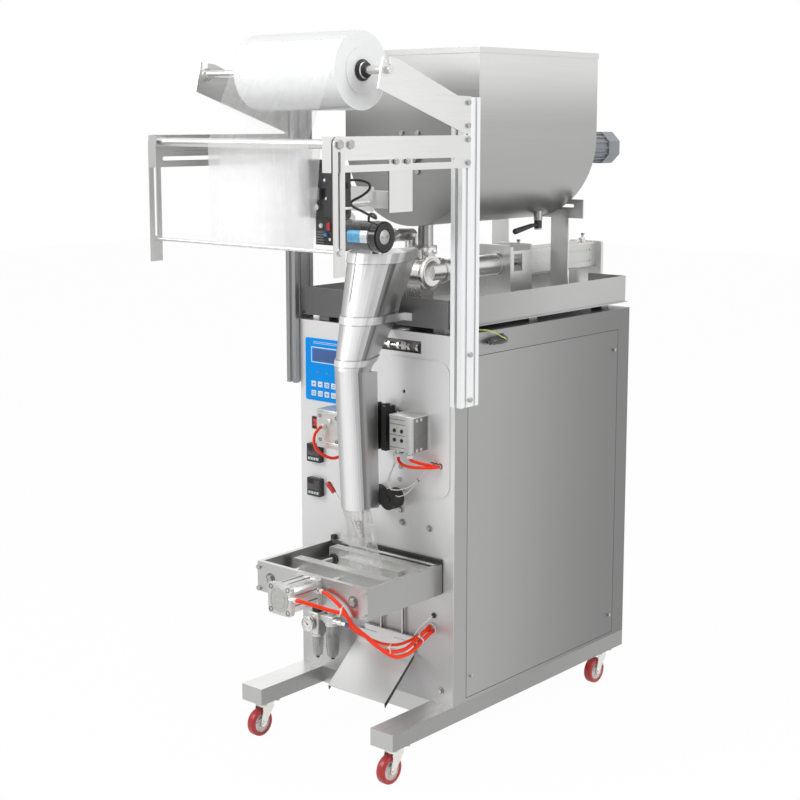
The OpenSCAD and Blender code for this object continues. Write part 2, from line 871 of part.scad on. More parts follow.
module side_plates() {
    fold = 24;
    color("lightgray") at_origin() both_sides() {
        plate_yz(frame_x, frame_out) difference() {
            translate([-plate_reach, plate_z0]) square([plate_reach + plate_rear, plate_h]);
            slot([-plate_reach + 44, plate_slot_z], [-56, plate_slot_z], 5);
            for (y = [pin_front, pin_second]) {
                translate([y, pin_z]) circle(pin_r + play);
            }
            for (z = plate_bolt_z) {
                translate([slot_y, z]) circle(bolt_r + play);
            }
        }
        block([frame_x - fold, front_end, plate_z0], [frame_out, -plate_reach, plate_z1]);
    }
}

module fasteners() {
    color("silver") at_origin() {
        both_sides() {
            for (z = post_bolt_z) {
                bolt([frame_x, cell - post_front, z], [1, 0, 0], cell + sheet + 8);
            }
            for (z = concat(arm_bolt_z, plate_bolt_z)) {
                bolt([frame_out, slot_y, z], [1, 0, 0], arm_t + 6, bolt_r - 0.1);
            }
            for (p = cover_screws()) {
                bolt([half_w, p[0], p[1]], [1, 0, 0], sheet, 3);
            }
            bar_x(frame_out, dancer_x - gap, pin_front, pin_z, pin_r + 4);
            bar_x(dancer_out + gap, edge_x, pin_front, pin_z, 11, $fn = 6);
            bar_x(frame_out, frame_out + bolt_head, pin_second, pin_z, 11, $fn = 6);
            for (x = [-1, 1], z = [-1, 1], y = [0, 1]) {
                caster_bolt(x, z, caster_y[y]);
            }
        }
        bar_x(-edge_x, edge_x, pin_front, pin_z, pin_r);
        bar_x(-frame_out - bolt_head, frame_out + bolt_head, pin_second, pin_z, pin_r);
        for (y = hanger_bolt_y) {
            bolt([frame_out, y, plate_slot_z], [1, 0, 0], arm_t, bolt_r);
        }
        for (x = [jaw_left + jaw_plate / 2, jaw_right - jaw_plate / 2], z = [jaw_z0 + 8, jaw_z1 - 15]) {
            bolt([x, -jaw_frame_d, z], [0, -1, 0], 10);
        }
        for (x = [-27, 27], z = [-49, 49]) {
            bolt([line_x + x, hopper_y, stirrer_z + z], [0, -1, 0], hopper_wall);
        }
    }
}

module caster_bolt(dx, dy, y) {
    z = caster_h - caster_plate_t;
    bolt([rail_x + dx * caster_hole, y + dy * caster_hole, z], [0, 0, -1], caster_plate_t, bolt_r - 1);
}

// Film
module film_roll() {
    core_r = core_d / 2;
    color("white") at_origin() difference() {
        union() {
            bar_x(line_x - film_w / 2, line_x + film_w / 2, roll_y, roll_z, roll_r);
            bar_x(line_x - film_w / 2 - core_out, line_x + film_w / 2 + core_out, roll_y, roll_z, core_r);
        }
        bar_x(line_x - film_w, line_x + film_w, roll_y, roll_z, core_bore);
    }
}

module roll_shaft() {
    end = film_w / 2 + core_out;
    color("dimgray") at_origin() {
        bar_x(-edge_x, edge_x, roll_y, roll_z, shaft_r);
        for (s = [-1, 1]) {
            translate([line_x + s * end, roll_y, roll_z]) rotate([0, s * 90, 0]) rotate_extrude() polygon([
                [0, -24], [core_bore - 3, -24], [core_bore - gap, -6], [core_bore - gap, 0], [core_bore + 3, 0],
                [core_bore + 3, 3], [core_bore - 1, 5], [core_bore - 4, 14], [0, 14]
            ]);
        }
        both_sides() bar_x(frame_x - 9, frame_x - gap, roll_y, roll_z, shaft_r + 6);
    }
}

module roller(y) {
    bar_x(-roller_half, roller_half, y, pin_z, roller_r);
}

module front_roller() {
    color("silver") at_origin() difference() {
        roller(pin_front);
        bar_x(-frame_x, frame_x, pin_front, pin_z, pin_r + run);
    }
}

module second_roller() {
    color("silver") at_origin() difference() {
        roller(pin_second);
        bar_x(-frame_x, frame_x, pin_second, pin_z, pin_r + run);
    }
}

module dancer() {
    w = dancer_w / 2;
    low = pin_z - dancer_len;
    color("lightgray") at_origin() {
        both_sides() {
            plate_yz(dancer_x, dancer_out) difference() {
                union() {
                    translate([pin_front, pin_z]) circle(w);
                    translate([pin_front - w, low]) square([dancer_w, pin_z - low]);
                }
                translate([pin_front, pin_z]) circle(pin_r + run);
                slot([pin_front, rod_z], [pin_front, pin_z - 20], rod_r + 0.5);
            }
            bar_x(dancer_out, edge_x, pin_front, rod_z, rod_r + 4, $fn = 6);
            bar_x(dancer_x - 1, dancer_x, pin_front, rod_z, rod_r + 2);
        }
        bar_x(-edge_x, edge_x, pin_front, rod_z, rod_r);
    }
}

// Angle of the normal shared by two circles on one side of a belt
function belt_out(a, ra, b, rb, s) = turn(b - a) + s * acos((ra - rb) / norm(b - a));
function belt_cross(a, ra, b, rb, s) = turn(b - a) + s * acos((ra + rb) / norm(b - a));

module film_web() {
    path = concat(
        arc(roll_c, film_roll_r, normal_a - 24, normal_a, 3),
        arc(front_c, film_pin_r, normal_a + 360, normal_b + 360, 3),
        arc(rod_c, film_rod_r, normal_b, normal_c, 6),
        arc(second_c, film_pin_r, normal_c + 180, normal_d, 6)
    );
    from = second_c + film_pin_r * [cos(normal_d), sin(normal_d)];
    run_len = norm(sheet_end - from);
    color("aliceblue", 0.5) at_origin() {
        plate_yz(line_x - film_w / 2, line_x + film_w / 2) polygon(ribbon(path, film_t));
        translate([line_x, from[0], from[1]]) rotate([turn(sheet_end - from), 0, 0])
            translate([0, 0, -film_t / 2]) linear_extrude(film_t) polygon([
                [-film_w / 2, -1], [film_w / 2, -1], [mouth_r - 6, run_len], [6 - mouth_r, run_len]
            ]);
        difference() {
            bag(0);
            bag(0.3);
        }
    }
}

// Bag below the forming tube, flat where the cross jaws close
module bag(inset) {
    top = tube_low[1] - 8;
    flat = jaw_z1 + 10;
    w = 58 - inset;
    t = 0.5 - inset;
    hull() {
        translate([line_x, tube_low[0], top]) cylinder(h = 4 + inset, r = tube_r - 2 - inset, $fn = 32);
        block([line_x - w, jaw_meet - t, flat], [line_x + w, jaw_meet + t, flat + 1]);
    }
    block([line_x - w, jaw_meet - t, jaw_z0 - 30 - 4 * inset], [line_x + w, jaw_meet + t, flat + 1]);
}

// Coder
module coder_bracket() {
    z = coder_z;
    inner = frame_x - arm_t;
    color("whitesmoke") at_origin() {
        plate_yz(inner, frame_x) difference() {
            translate([hanger_y[0], plate_z0 - 96])
                square([hanger_y[1] - hanger_y[0], plate_slot_z - plate_z0 + 120]);
            for (y = hanger_bolt_y) {
                translate([y, plate_slot_z]) circle(bolt_r + play);
            }
        }
        difference() {
            block([60, channel_y, z], [inner, channel_y + channel_d, z + 40]);
            block([59, channel_y + 3, z + 3], [inner, channel_y + channel_d + 1, z + 37]);
        }
        difference() {
            plate_xz(channel_y - coder_plate_t, channel_y)
                rounded([motor_x[0] - coder_plate_t, z - 8], [coder_rod_x[1] + 10, z + 50], 5);
            for (x = coder_rod_x) {
                bar_y(channel_y - 9, channel_y, x, z + 10, bolt_r - 1);
            }
        }
        for (x = coder_rod_x) {
            bar_y(coder_rear, channel_y - coder_plate_t, x, z + 10, coder_rod_r);
        }
        plate_yz(motor_x[0] - coder_plate_t, motor_x[0]) polygon([
            [channel_y, z - 8], [channel_y, z + 50], [motor_y - 55, z + 50], [motor_y + 39, motor_z + 43],
            [motor_y + 39, motor_z - 36], [motor_y - 15, motor_z - 40]
        ]);
    }
}

module coder_body() {
    z = coder_z - 15;
    x = coder_x;
    color("black") at_origin() difference() {
        union() {
            plate_xz(coder_front, coder_rear) rounded([x[0], z], [x[1], z + coder_h], 6);
            bar_y(coder_front - 5, coder_front, x[0] + 22, z + 22, 9);
        }
        for (s = [-1, 1]) {
            bar_y(coder_front - 1, coder_rear - 4, print_x() + 12 * s, coder_z + 40, 4 + run);
        }
    }
}

function print_x() = (coder_x[0] + coder_x[1]) / 2 - 10;

module print_head() {
    x = print_x();
    z = coder_z + 40;
    color("gray") at_origin() {
        plate_xz(coder_front - gap - 11, coder_front - gap) rounded([x - 22, z - 14], [x + 22, z + 14], 3);
        for (s = [-1, 1]) {
            bar_y(coder_front - gap, coder_rear - 14, x + 12 * s, z, 4);
        }
    }
}

module coder_motor() {
    cap = 8;
    color("black") at_origin() {
        bar_x(motor_x[0], motor_x[0] + 6, motor_y, motor_z, motor_r + 2);
        bar_x(motor_x[0] + 6, motor_x[1] - cap, motor_y, motor_z, motor_r - 1);
        difference() {
            union() {
                bar_x(motor_x[1] - cap - 14, motor_x[1] - 2, motor_y, motor_z, motor_r);
                bar_x(motor_x[1] - 2, motor_x[1], motor_y, motor_z, motor_r - 4);
            }
            bar_x(motor_x[1] - 3, motor_x[1] + 1, motor_y, motor_z, 19);
        }
        difference() {
            bar_x(motor_x[1] - 4, motor_x[1] - 1, motor_y, motor_z, 18);
            for (s = [-1, 1]) {
                bar_x(motor_x[1] - 2, motor_x[1], motor_y + 9 * s, motor_z, 2.5);
            }
        }
    }
}

// Forming tube: drop-shaped sheet, round in front and drawn to an open seam at the back.
// A straight lower part is mitred to a leaning cone.
module mitre_side(above) {
    big = 500;
    translate([line_x, knee[0], knee[1]]) rotate([mitre_turn, 0, 0])
        translate([-big, -big, above ? -lap : -2 * big]) cube(2 * big);
}

module level(z0, z1) {
    block([line_x - 200, mouth[0] - 200, z0], [line_x + 200, mouth[0] + 400, z1]);
}

// Strip along the seam, from one edge point to the next
module seam_strip(points, grow) {
    deep = 4;
    plate_yz(line_x - seam_half - grow, line_x + seam_half + grow) polygon(concat(
        [for (p = points) p + [grow, 0]], [for (i = [len(points) - 1:-1:0]) points[i] - [deep, 0]]
    ));
}

module low_drop(grow) {
    low_len = norm(knee - tube_low);
    hull() {
        translate([line_x, tube_low[0], tube_low[1]]) rotate([tube_lean, 0, 0]) translate([0, 0, -max(0, -grow)])
            cylinder(h = low_len + 30, r = tube_r + grow, $fn = 40);
        seam_strip([seam_edge[0] + [0, min(0, grow)], seam_edge[1], seam_edge[1] + [-2, 60]], grow);
    }
}

module cone_drop(grow) {
    s0 = -20;
    s1 = cone_len + 80;
    r = tube_r + lap + grow;
    hull() {
        translate([line_x, knee[0], knee[1]]) rotate([-cone_lean, 0, 0]) translate([0, 0, s0])
            cylinder(h = s1 - s0, r1 = r + cone_rate * s0, r2 = r + cone_rate * s1, $fn = 40);
        seam_strip(
            [seam_edge[2] - [20, 28], seam_edge[2], seam_edge[3], seam_edge[4], seam_edge[4] + [8, 30]], grow
        );
    }
}

module forming_tube() {
    top = mouth[1] + collar_h;
    color("silver") at_origin() {
        difference() {
            union() {
                intersection() {
                    low_drop(0);
                    mitre_side(false);
                }
                intersection() {
                    cone_drop(0);
                    mitre_side(true);
                    level(knee[1] - 50, top);
                }
                intersection() {
                    cone_drop(2.5);
                    union() {
                        level(mouth[1], top);
                        level(strap_z - 10, strap_z + 11);
                        level(clip_z - 9, clip_z + 8);
                    }
                }
            }
            intersection() {
                low_drop(-tube_wall);
                mitre_side(false);
            }
            intersection() {
                cone_drop(-tube_wall);
                mitre_side(true);
            }
            block([line_x - slit / 2, knee[0], tube_low[1] - 50], [line_x + slit / 2, mouth[0] + 300, top + 50]);
        }
        for (s = [-1, 1]) {
            tube_strap(s);
        }
    }
}

// Flat bar from the band round the cone back to the front of the tray
module tube_strap(s) {
    x = line_x + s * strap_x;
    y = mouth[0] + (strap_z - mouth[1]) * tan_cone;
    difference() {
        union() {
            block([x - 2, y, strap_z - 10], [x + 2, 0, strap_z + 11]);
            block([x - 2 + min(0, s * 22), -4, strap_z - 10], [x + 2 + max(0, s * 22), 0, strap_z + 11]);
        }
        cone_drop(-tube_wall / 2);
    }
}

module pipe(points, r) {
    for (i = [0:len(points) - 2]) {
        rod(points[i], points[i + 1], r);
    }
    for (i = [1:len(points) - 2]) {
        translate(points[i]) sphere(r + 0.5);
    }
}

module filling_nozzle() {
    centre = concat(feed_path, [for (p = nozzle_path) [line_x, p[0], p[1]]]);
    last = centre[len(centre) - 1];
    tip = [line_x, nozzle_tip[0], nozzle_tip[1]];
    wall = 1.5;
    color("silver") at_origin() difference() {
        union() {
            pipe(centre, nozzle_r);
            translate(last) sphere(nozzle_r + 0.5);
            aim(last, tip - last) cylinder(h = norm(tip - last), r1 = nozzle_r, r2 = tip_r);
        }
        union() {
            pipe(concat([centre[0] * 2 - centre[1]], centre), nozzle_r - wall);
            translate(last) sphere(nozzle_r - wall + 0.5);
            aim(last, tip - last) cylinder(h = norm(tip - last) + 1, r1 = nozzle_r - wall, r2 = tip_r - wall);
        }
    }
}

// Seam sealer: a cylinder block on either side of the seam, each driving a heated bar
module seam_sealer() {
    rod_hole = seam_rod_r + run;
    color("silver") at_origin() {
        difference() {
            union() {
                plate_xz(block_y[0], block_y[1]) rounded([block_x[0], block_z[0]], [block_x[1], block_z[1]], 3);
                for (x = [block_x[0] + 12, block_x[1] - 28]) {
                    bar_z(block_z[0] - 14, block_z[0], x, -48, 6.5);
                }
            }
            bar_x(block_x[0] - 1, block_x[0] + 60, seam_rod_y, seam_rod_z, rod_hole);
            for (x = [block_x[0] + 16, block_x[0] + 40], z = [block_z[0] + 28, block_z[0] + 52]) {
                bar_y(block_y[0] - 1, block_y[0] + 8, x, z, 3);
            }
        }
        difference() {
            union() {
                plate_xz(block_y[0], 0) rounded([left_x[0], left_z[0]], [left_x[1], left_z[1]], 3);
                bar_y(block_y[0] - 10, block_y[0], left_x[0] + 30, seam_rod_z - 14, 6);
                bar_z(left_z[0] - 9, left_z[0], left_x[1] - 17, -44, 6);
            }
            bar_x(left_x[1] - 60, left_x[1] + 1, seam_rod_y, seam_rod_z, rod_hole);
        }
    }
}

module seam_jaw(side, rod_end) {
    face = seam_close + seam_stroke;
    difference() {
        union() {
            block([face, bar_y[0], bar_z0], [face + bar_w, bar_y[1], bar_z1]);
            bar_x(face + bar_w, rod_end, seam_rod_y, seam_rod_z, seam_rod_r);
            bar_z(bar_z1, bar_z1 + 6, face + bar_w / 2, seam_rod_y, 7, $fn = 6);
        }
        for (z = [bar_z0 + 14:8:bar_z1 - 10]) {
            block([face - 1, bar_y[0] - 1, z], [face + 1, bar_y[1] + 1, z + 2]);
        }
    }
}

module seam_jaw_right() {
    color("gray") at_origin() translate([line_x, 0, 0]) seam_jaw(1, block_x[0] + 45 - line_x);
}

module seam_jaw_left() {
    color("gray") at_origin() translate([line_x, 0, 0]) mirror([1, 0, 0]) seam_jaw(-1, line_x - left_x[1] + 45);
}

module pull_roller(side) {
    ribs = 36;
    rib = 1.2;
    w = pull_y[1] - pull_y[0];
    x = line_x + side * (pull_r + gap);
    color("dimgray") at_origin() translate([x, pull_y[0], pull_z]) rotate([-90, 0, 0]) {
        difference() {
            cylinder(h = w, r = pull_r);
            for (i = [0:ribs - 1]) {
                rotate(360 / ribs * i) translate([pull_r - 0.8, -rib / 2, -1]) cube([2, rib, w - 5]);
            }
        }
        cylinder(h = -3 - pull_y[0], r = pull_shaft_r);
        translate([0, 0, -4]) cylinder(h = 4, r = pull_shaft_r + 4, $fn = 6);
    }
}

module pull_roller_right() {
    pull_roller(1);
}

module pull_roller_left() {
    pull_roller(-1);
}

module release_lever() {
    at = [lever_x, lever_y, lever_z];
    end = at + [knob_out[0], 0, knob_out[1]];
    start = at + [knob_out[0], 0, knob_out[1]] * 0.62;
    color("red") at_origin() {
        bar_y(lever_y - 6, -3, lever_x, lever_z, pull_shaft_r);
        bar_y(lever_y - 7, lever_y + 7, lever_x, lever_z, 11);
        rod(at, end, 3.5);
        aim(start, end - start) cylinder(h = norm(end - start), r1 = 5, r2 = 7.5);
        translate(end) sphere(8.2);
    }
}

// Cross sealer
module jaw_frame() {
    in = jaw_plate;
    front = -jaw_frame_d;
    color("silver") at_origin() {
        difference() {
            block([jaw_left, front, jaw_z0], [jaw_right, -gasket, jaw_z1]);
            block([jaw_left + in, front + in, jaw_z0 - 1], [jaw_right - in, -gasket - in, jaw_z1 + 1]);
            bar_y(front - 1, front + in + 1, jaw_x, jaw_axis_z, jaw_rod_r + run);
            for (x = [jaw_left + in / 2, jaw_right - in / 2], z = [jaw_z0 + 8, jaw_z1 - 15]) {
                bar_y(front - 1, front + 11, x, z, bolt_r + play);
            }
        }
        block([jaw_left, -gasket, jaw_z0 + 4], [jaw_right, 0, jaw_z1 - 4]);
        for (s = [-1, 1]) {
            bar_y(front + in, -gasket - in, jaw_x + s * guide_x, guide_z, guide_r);
            bar_y(front - 5, front, jaw_x + s * guide_x, guide_z, guide_r + 4, $fn = 6);
        }
    }
}

module jaw(side) {
    face = jaw_meet + side * (jaw_close + jaw_stroke);
    mid = face + side * jaw_bar;
    back = mid + side * jaw_carrier;
    w = guide_x - 42;
    difference() {
        union() {
            plate_xz(min(mid, back), max(mid, back))
                rounded([jaw_x - jaw_half, jaw_z0 + 22], [jaw_x + jaw_half, jaw_z1 - 8], 4);
            block([jaw_x - w, min(face, mid), jaw_z0 + 26], [jaw_x + w, max(face, mid), jaw_z0 + 56]);
        }
        for (s = [-1, 1]) {
            bar_y(min(face, back) - 1, max(face, back) + 1, jaw_x + s * guide_x, guide_z, guide_r + run);
        }
        for (z = [jaw_z0 + 29:4:jaw_z0 + 52]) {
            block([jaw_x - jaw_half, face - 1, z], [jaw_x + jaw_half, face + 1, z + 1.6]);
        }
    }
}

module jaw_front() {
    back = jaw_meet - jaw_close - jaw_stroke - jaw_bar - jaw_carrier;
    end = -jaw_frame_d - jaw_len + jaw_head + 6;
    color("gray") at_origin() {
        jaw(-1);
        bar_y(end, back, jaw_x, jaw_axis_z, jaw_rod_r);
        bar_y(end, end + 14, jaw_x, jaw_axis_z, jaw_bore / 2 - run);
    }
}

module jaw_rear() {
    color("gray") at_origin() jaw(1);
}

module jaw_cylinder() {
    h = jaw_side / 2;
    y0 = -jaw_frame_d - jaw_len;
    y1 = -jaw_frame_d;
    color("silver") at_origin() difference() {
        union() {
            plate_xz(y0, y1) rounded([jaw_x - h, jaw_axis_z - h], [jaw_x + h, jaw_axis_z + h], 9);
            for (y = [y0 + 6, y1 - 12]) {
                bar_x(jaw_x + h, jaw_x + h + 10, y, jaw_axis_z + 4, port_r);
            }
            bar_y(y0 - 3, y0, jaw_x, jaw_axis_z, 20);
        }
        bar_y(y0 + jaw_head, y1 - jaw_head, jaw_x, jaw_axis_z, jaw_bore / 2);
        bar_y(y1 - jaw_head - 1, y1 + 1, jaw_x, jaw_axis_z, jaw_rod_r + run);
        for (x = [-1, 1], z = [-1, 1]) {
            bar_y(y0 - 1, y0 + 8, jaw_x + x * (h - 10), jaw_axis_z + z * (h - 10), 4.5);
        }
        for (s = [-1, 1]) {
            plate_xz(y0 + jaw_head, y1 - jaw_head) translate([jaw_x + s * h, jaw_axis_z])
                square([4, 12], center = true);
        }
    }
}

// Discharge chute on its two rods
module chute() {
    t = 2;
    edge = 12;
    color("lightgray") at_origin() {
        for (x = hanger_rod) {
            bar_z(hanger_z[1] - 2, jaw_z0, jaw_x + x, -gasket - 6, 4);
        }
        block([jaw_x - 67, -14, hanger_z[0]], [jaw_x - 67 + 2 * hanger_half, -gasket - t, hanger_z[1]]);
        plate_yz(jaw_x - chute_half, jaw_x + chute_half) polygon([
            chute_top, chute_top + [0, 30], chute_top + [-t, 30], chute_top + [-t, -1],
            chute_low + [0, 1], chute_low
        ]);
        for (s = [-1, 1]) {
            plate_yz(jaw_x + s * (chute_half - t / 2) - t / 2, jaw_x + s * (chute_half - t / 2) + t / 2)
                polygon([chute_top, chute_low, chute_low - [-t, edge], chute_top - [t, edge]]);
        }
        block([jaw_x - 30, -8, chute_top[1]], [jaw_x + 30, -6, hanger_z[0] + 5]);
    }
}

// Air unit: filter regulator with gauge, and oiler
module air_unit() {
    h = air_body / 2;
    z0 = air_top - 61;
    color("lightslategray") at_origin() difference() {
        union() {
            plate_xz(air_y - h, air_y + h) rounded([filter_x - h, z0], [filter_x + h, air_top], 4);
            plate_xz(air_y - h, air_y + h) rounded([oiler_x - h, air_top - 22], [oiler_x + h, air_top], 4);
            block([filter_x + h - 1, air_y - 12, air_top - 20], [oiler_x - h + 1, air_y + 12, air_top - 4]);
            translate([filter_x, air_y, z0 - 66]) cylinder(h = 67, r1 = bowl_r[0] - 4, r2 = bowl_r[0]);
            bar_z(z0 - 72, z0 - 65, filter_x, air_y, 5);
            translate([oiler_x, air_y, air_top - 119]) cylinder(h = 98, r1 = bowl_r[1] - 4, r2 = bowl_r[1]);
            bar_z(air_top - 125, air_top - 118, oiler_x, air_y, 5);
            bar_y(air_y - h - 16, air_y - h, filter_x - 8, gauge_z, gauge_r);
            bar_x(oiler_x + h - 1, oiler_x + h + 44, air_y - 12, air_top - 12, port_r);
            block([filter_x + h + 2, air_y, air_top - 14], [oiler_x - h - 2, 0, air_top - 4]);
            bar_z(air_top, air_top + 8, filter_x, air_y, 8);
            bar_x(filter_x - h - 8, filter_x - h, air_y, air_top - 12, port_r + 4, $fn = 6);
        }
        bar_x(filter_x - h - 9, filter_x - h + 12, air_y, air_top - 12, port_r);
        bar_y(air_y - h - 17, air_y - h - 14, filter_x - 8, gauge_z, gauge_r - 2.5);
    }
}

module regulator_knob() {
    r = 15;
    ribs = 18;
    color("dimgray") at_origin() translate([filter_x, air_y, air_top + gap]) difference() {
        cylinder(h = 26, r = r);
        translate([0, 0, -1]) cylinder(h = 10, r = 8 + run);
        for (i = [0:ribs - 1]) {
            rotate(360 / ribs * i) translate([r, 0, 3]) cylinder(h = 20, r = 1.2);
        }
    }
}

// Tray that carries the filler, on stand-offs
module tray() {
    h = tray_half;
    z1 = tray_z0 + tray_wall_h;
    slot_w = filler_plate_w / 2 + 1;
    color("gainsboro") at_origin() {
        difference() {
            block([-h, 0, tray_z0], [h, tray_d, z1]);
            block([sheet - h, sheet, tray_z0 + sheet], [h - sheet, tray_d - sheet, z1 + 1]);
            block([line_x - slot_w, tray_d - sheet - 1, tray_z0 + sheet], [line_x + slot_w, tray_d + 1, z1 + 1]);
            seam_notch();
        }
        difference() {
            block([-h - 10, 0, tray_z0], [h + 10, tray_d, tray_z0 + sheet]);
            seam_notch();
        }
        for (x = [-1, 1], y = [40, cab_d / 2, cab_d - 50]) {
            block([x * (h - 48) - 18, y - 18, cab_z1], [x * (h - 48) + 18, y + 18, tray_z0]);
        }
    }
}

// Room in the front wall for the back of the forming tube
module seam_notch() {
    top = tray_z0 + tray_wall_h + 1;
    plate_xz(-1, 60) polygon([
        [line_x - 12, tray_z0 - 1], [line_x + 12, tray_z0 - 1], [line_x + 34, top], [line_x - 34, top]
    ]);
}

// Filler: base channel, end plates and rod gland
module filler_plates() {
    w = filler_plate_w / 2;
    floor_z = tray_z0 + sheet;
    z0 = floor_z + channel_h;
    top = filler_z + 54;
    y = filler_y;
    rear = air_y1 + 12;
    color("silver") at_origin() difference() {
        union() {
            difference() {
                block([line_x - w, y[0] - 5, floor_z], [line_x + w, rear + 5, z0]);
                block([line_x - w + 4, y[0] - 6, floor_z - 1], [line_x + w - 4, rear + 6, z0 - 4]);
            }
            plate_xz(y[0], y[0] + filler_t[0]) rounded([line_x - w, z0 - 8], [line_x + w, top], 6);
            plate_xz(y[1], y[1] + filler_t[1]) rounded([line_x - w, z0 - 8], [line_x + w, top], 6);
            plate_xz(air_y1, rear) rounded([line_x - w, z0 - 8], [line_x + w, filler_z + 40], 6);
            plate_yz(line_x + w - 3, line_x + w) difference() {
                translate([y[0] + 1, z0 - 8]) square([y[1] - y[0] + 4, top - z0 - 8]);
                translate([y[0] + 16, filler_z - 18]) square([38, 48]);
            }
            bar_y(y[0] + filler_t[0] - 1, y[0] + filler_t[0] + 28, line_x, filler_z, 18);
        }
        bar_y(y[0] - 1, y[0] + filler_t[0] + 40, line_x, filler_z, piston_rod_r + run);
        bar_y(y[1] - 1, y[1] + filler_t[1] + 1, line_x, filler_z, piston_rod_r + run);
    }
}

module product_cylinder() {
    r = product_d / 2;
    color("silver") at_origin() difference() {
        union() {
            bar_y(product_y0, filler_y[0], line_x, filler_z, r);
            bar_y(product_y0, product_y0 + 8, line_x, filler_z, r + 6);
            bar_y(filler_y[0] - 10, filler_y[0], line_x, filler_z, r + 6);
        }
        bar_y(product_y0 - 1, filler_y[0] + 1, line_x, filler_z, r - product_wall);
    }
}

module filler_piston() {
    r = product_d / 2 - product_wall - run;
    y0 = product_y0 + 12;
    y1 = air_y0 + 40;
    color("silver") at_origin() {
        bar_y(y0, y0 + 24, line_x, filler_z, r);
        bar_y(y0, y1, line_x, filler_z, piston_rod_r);
        bar_y(y1 - 16, y1, line_x, filler_z, air_bore - run);
    }
}

module air_cylinder() {
    h = air_side / 2;
    head = 18;
    color("silver") at_origin() difference() {
        union() {
            plate_xz(air_y0, air_y1) rounded([line_x - h, filler_z - h], [line_x + h, filler_z + h], 6);
            for (y = [air_y0 + 13, air_y1 - 14]) {
                bar_z(filler_z + h, filler_z + h + 12, line_x, y, 7);
                bar_z(filler_z + h + 12, filler_z + h + 19, line_x, y, 4.5);
                bar_y(y - 12, y, line_x, filler_z + h + 7, 4);
            }
        }
        bar_y(air_y0 - 1, air_y0 + head + 1, line_x, filler_z, piston_rod_r + run);
        bar_y(air_y0 + head, air_y1 - 22, line_x, filler_z, air_bore);
        plate_xz(air_y0 + head, air_y1 - 28) for (s = [-h, h], k = [-16, 16]) {
            translate([line_x + s, filler_z + k]) square([5, 6], center = true);
            translate([line_x + k, filler_z + s]) square([6, 5], center = true);
        }
    }
}

// Rotary valve: the hopper feeds it from above, the cylinder lies behind, the filling pipe leaves at the left
module rotary_valve() {
    x0 = valve_x[0];
    x1 = valve_x[1];
    mid = (x0 + x1) / 2;
    color("silver") at_origin() difference() {
        union() {
            bar_x(x0, x1, valve_y, filler_z, valve_r);
            bar_x(x1, x1 + valve_cap, valve_y, filler_z, valve_r - 4);
            bar_x(x1 - 6, x1 + 2, valve_y, filler_z, valve_r + 3);
            bar_z(filler_z, spigot_top, line_x, valve_y, spigot_r);
            bar_z(spigot_top - ferrule_t, spigot_top, line_x, valve_y, ferrule_r);
            bar_z(filler_z, feed_top, feed_x, valve_y, nozzle_r + 3);
            bar_y(valve_y, product_y0, line_x, filler_z, product_d / 2 + 3);
            block([mid - 32, valve_y - 26, tray_z0 + sheet], [mid + 32, valve_y + 26, filler_z]);
            block([x0 - 80, valve_y - 30, filler_z - 28], [x0 + 1, valve_y + 30, filler_z + 28]);
        }
        bar_x(x0 + 6, x1, valve_y, filler_z, rotor_r + run);
        bar_x(x0 - 30, x0 + 7, valve_y, filler_z, rotor_stem + run);
        bar_z(filler_z, spigot_top + 1, line_x, valve_y, port_d);
        bar_z(filler_z, feed_top + 1, feed_x, valve_y, port_d);
        bar_y(valve_y, product_y0 + 1, line_x, filler_z, port_d);
    }
}

module valve_rotor() {
    x0 = valve_x[0] + 6 + gap;
    passage = port_d - 1;
    color("silver") at_origin() difference() {
        union() {
            bar_x(x0, valve_x[1] - gap, valve_y, filler_z, rotor_r);
            bar_x(valve_x[0] - 26, x0, valve_y, filler_z, rotor_stem);
        }
        bar_z(filler_z, filler_z + rotor_r + 1, line_x, valve_y, passage);
        bar_y(valve_y, valve_y + rotor_r + 1, line_x, filler_z, passage);
        bar_y(valve_y - rotor_r - 1, valve_y, feed_x, filler_z, passage);
        bar_x(feed_x, line_x, valve_y, filler_z, passage - 3);
    }
}

// Hopper: U-shaped trough, round below and straight above
module trough(r, rise) {
    translate([line_x, hopper_z0 + hopper_r]) {
        circle(r, $fn = 96);
        translate([-r, 0]) square([2 * r, hopper_h - hopper_r + rise]);
    }
}

module hopper_shell() {
    w = hopper_wall;
    y0 = hopper_y;
    stud_z = hopper_z0 + 10;
    color("gainsboro") at_origin() difference() {
        union() {
            plate_xz(y0, hopper_y1) trough(hopper_r, 0);
            block([line_x - hopper_r - w, y0 - w, hopper_z1 - rim_h], [line_x + hopper_r + w, hopper_y1 + w, hopper_z1]);
            bar_z(spigot_top, hopper_z0 + 10, line_x, valve_y, spigot_r);
            bar_z(spigot_top, spigot_top + ferrule_t, line_x, valve_y, ferrule_r);
            bar_y(y0 - 12, y0, line_x, stirrer_z, flange_r);
            bar_z(stud_z - 12, stud_z + 14, lever_at[0], lever_at[1], 12);
            bar_z(stud_z - 34, stud_z, lever_at[0], lever_at[1], lever_stud_r);
            bar_z(stud_z - 38, stud_z - 34, lever_at[0], lever_at[1], lever_stud_r + 5);
        }
        plate_xz(y0 + w, hopper_y1 - w) trough(hopper_r - w, 1);
        bar_z(spigot_top - 1, hopper_z0 + 40, line_x, valve_y, port_d);
        bar_y(y0 - 8, y0 + 3, line_x, stirrer_z, stirrer_d / 2 + run);
        bar_y(hopper_y1 - 3, hopper_y1 + 3, line_x, stirrer_z, stirrer_d / 2 + run);
        for (x = [-27, 27], z = [-49, 49]) {
            bar_y(y0 - 1, y0 + w + 1, line_x + x, stirrer_z + z, bolt_r + play);
        }
    }
}

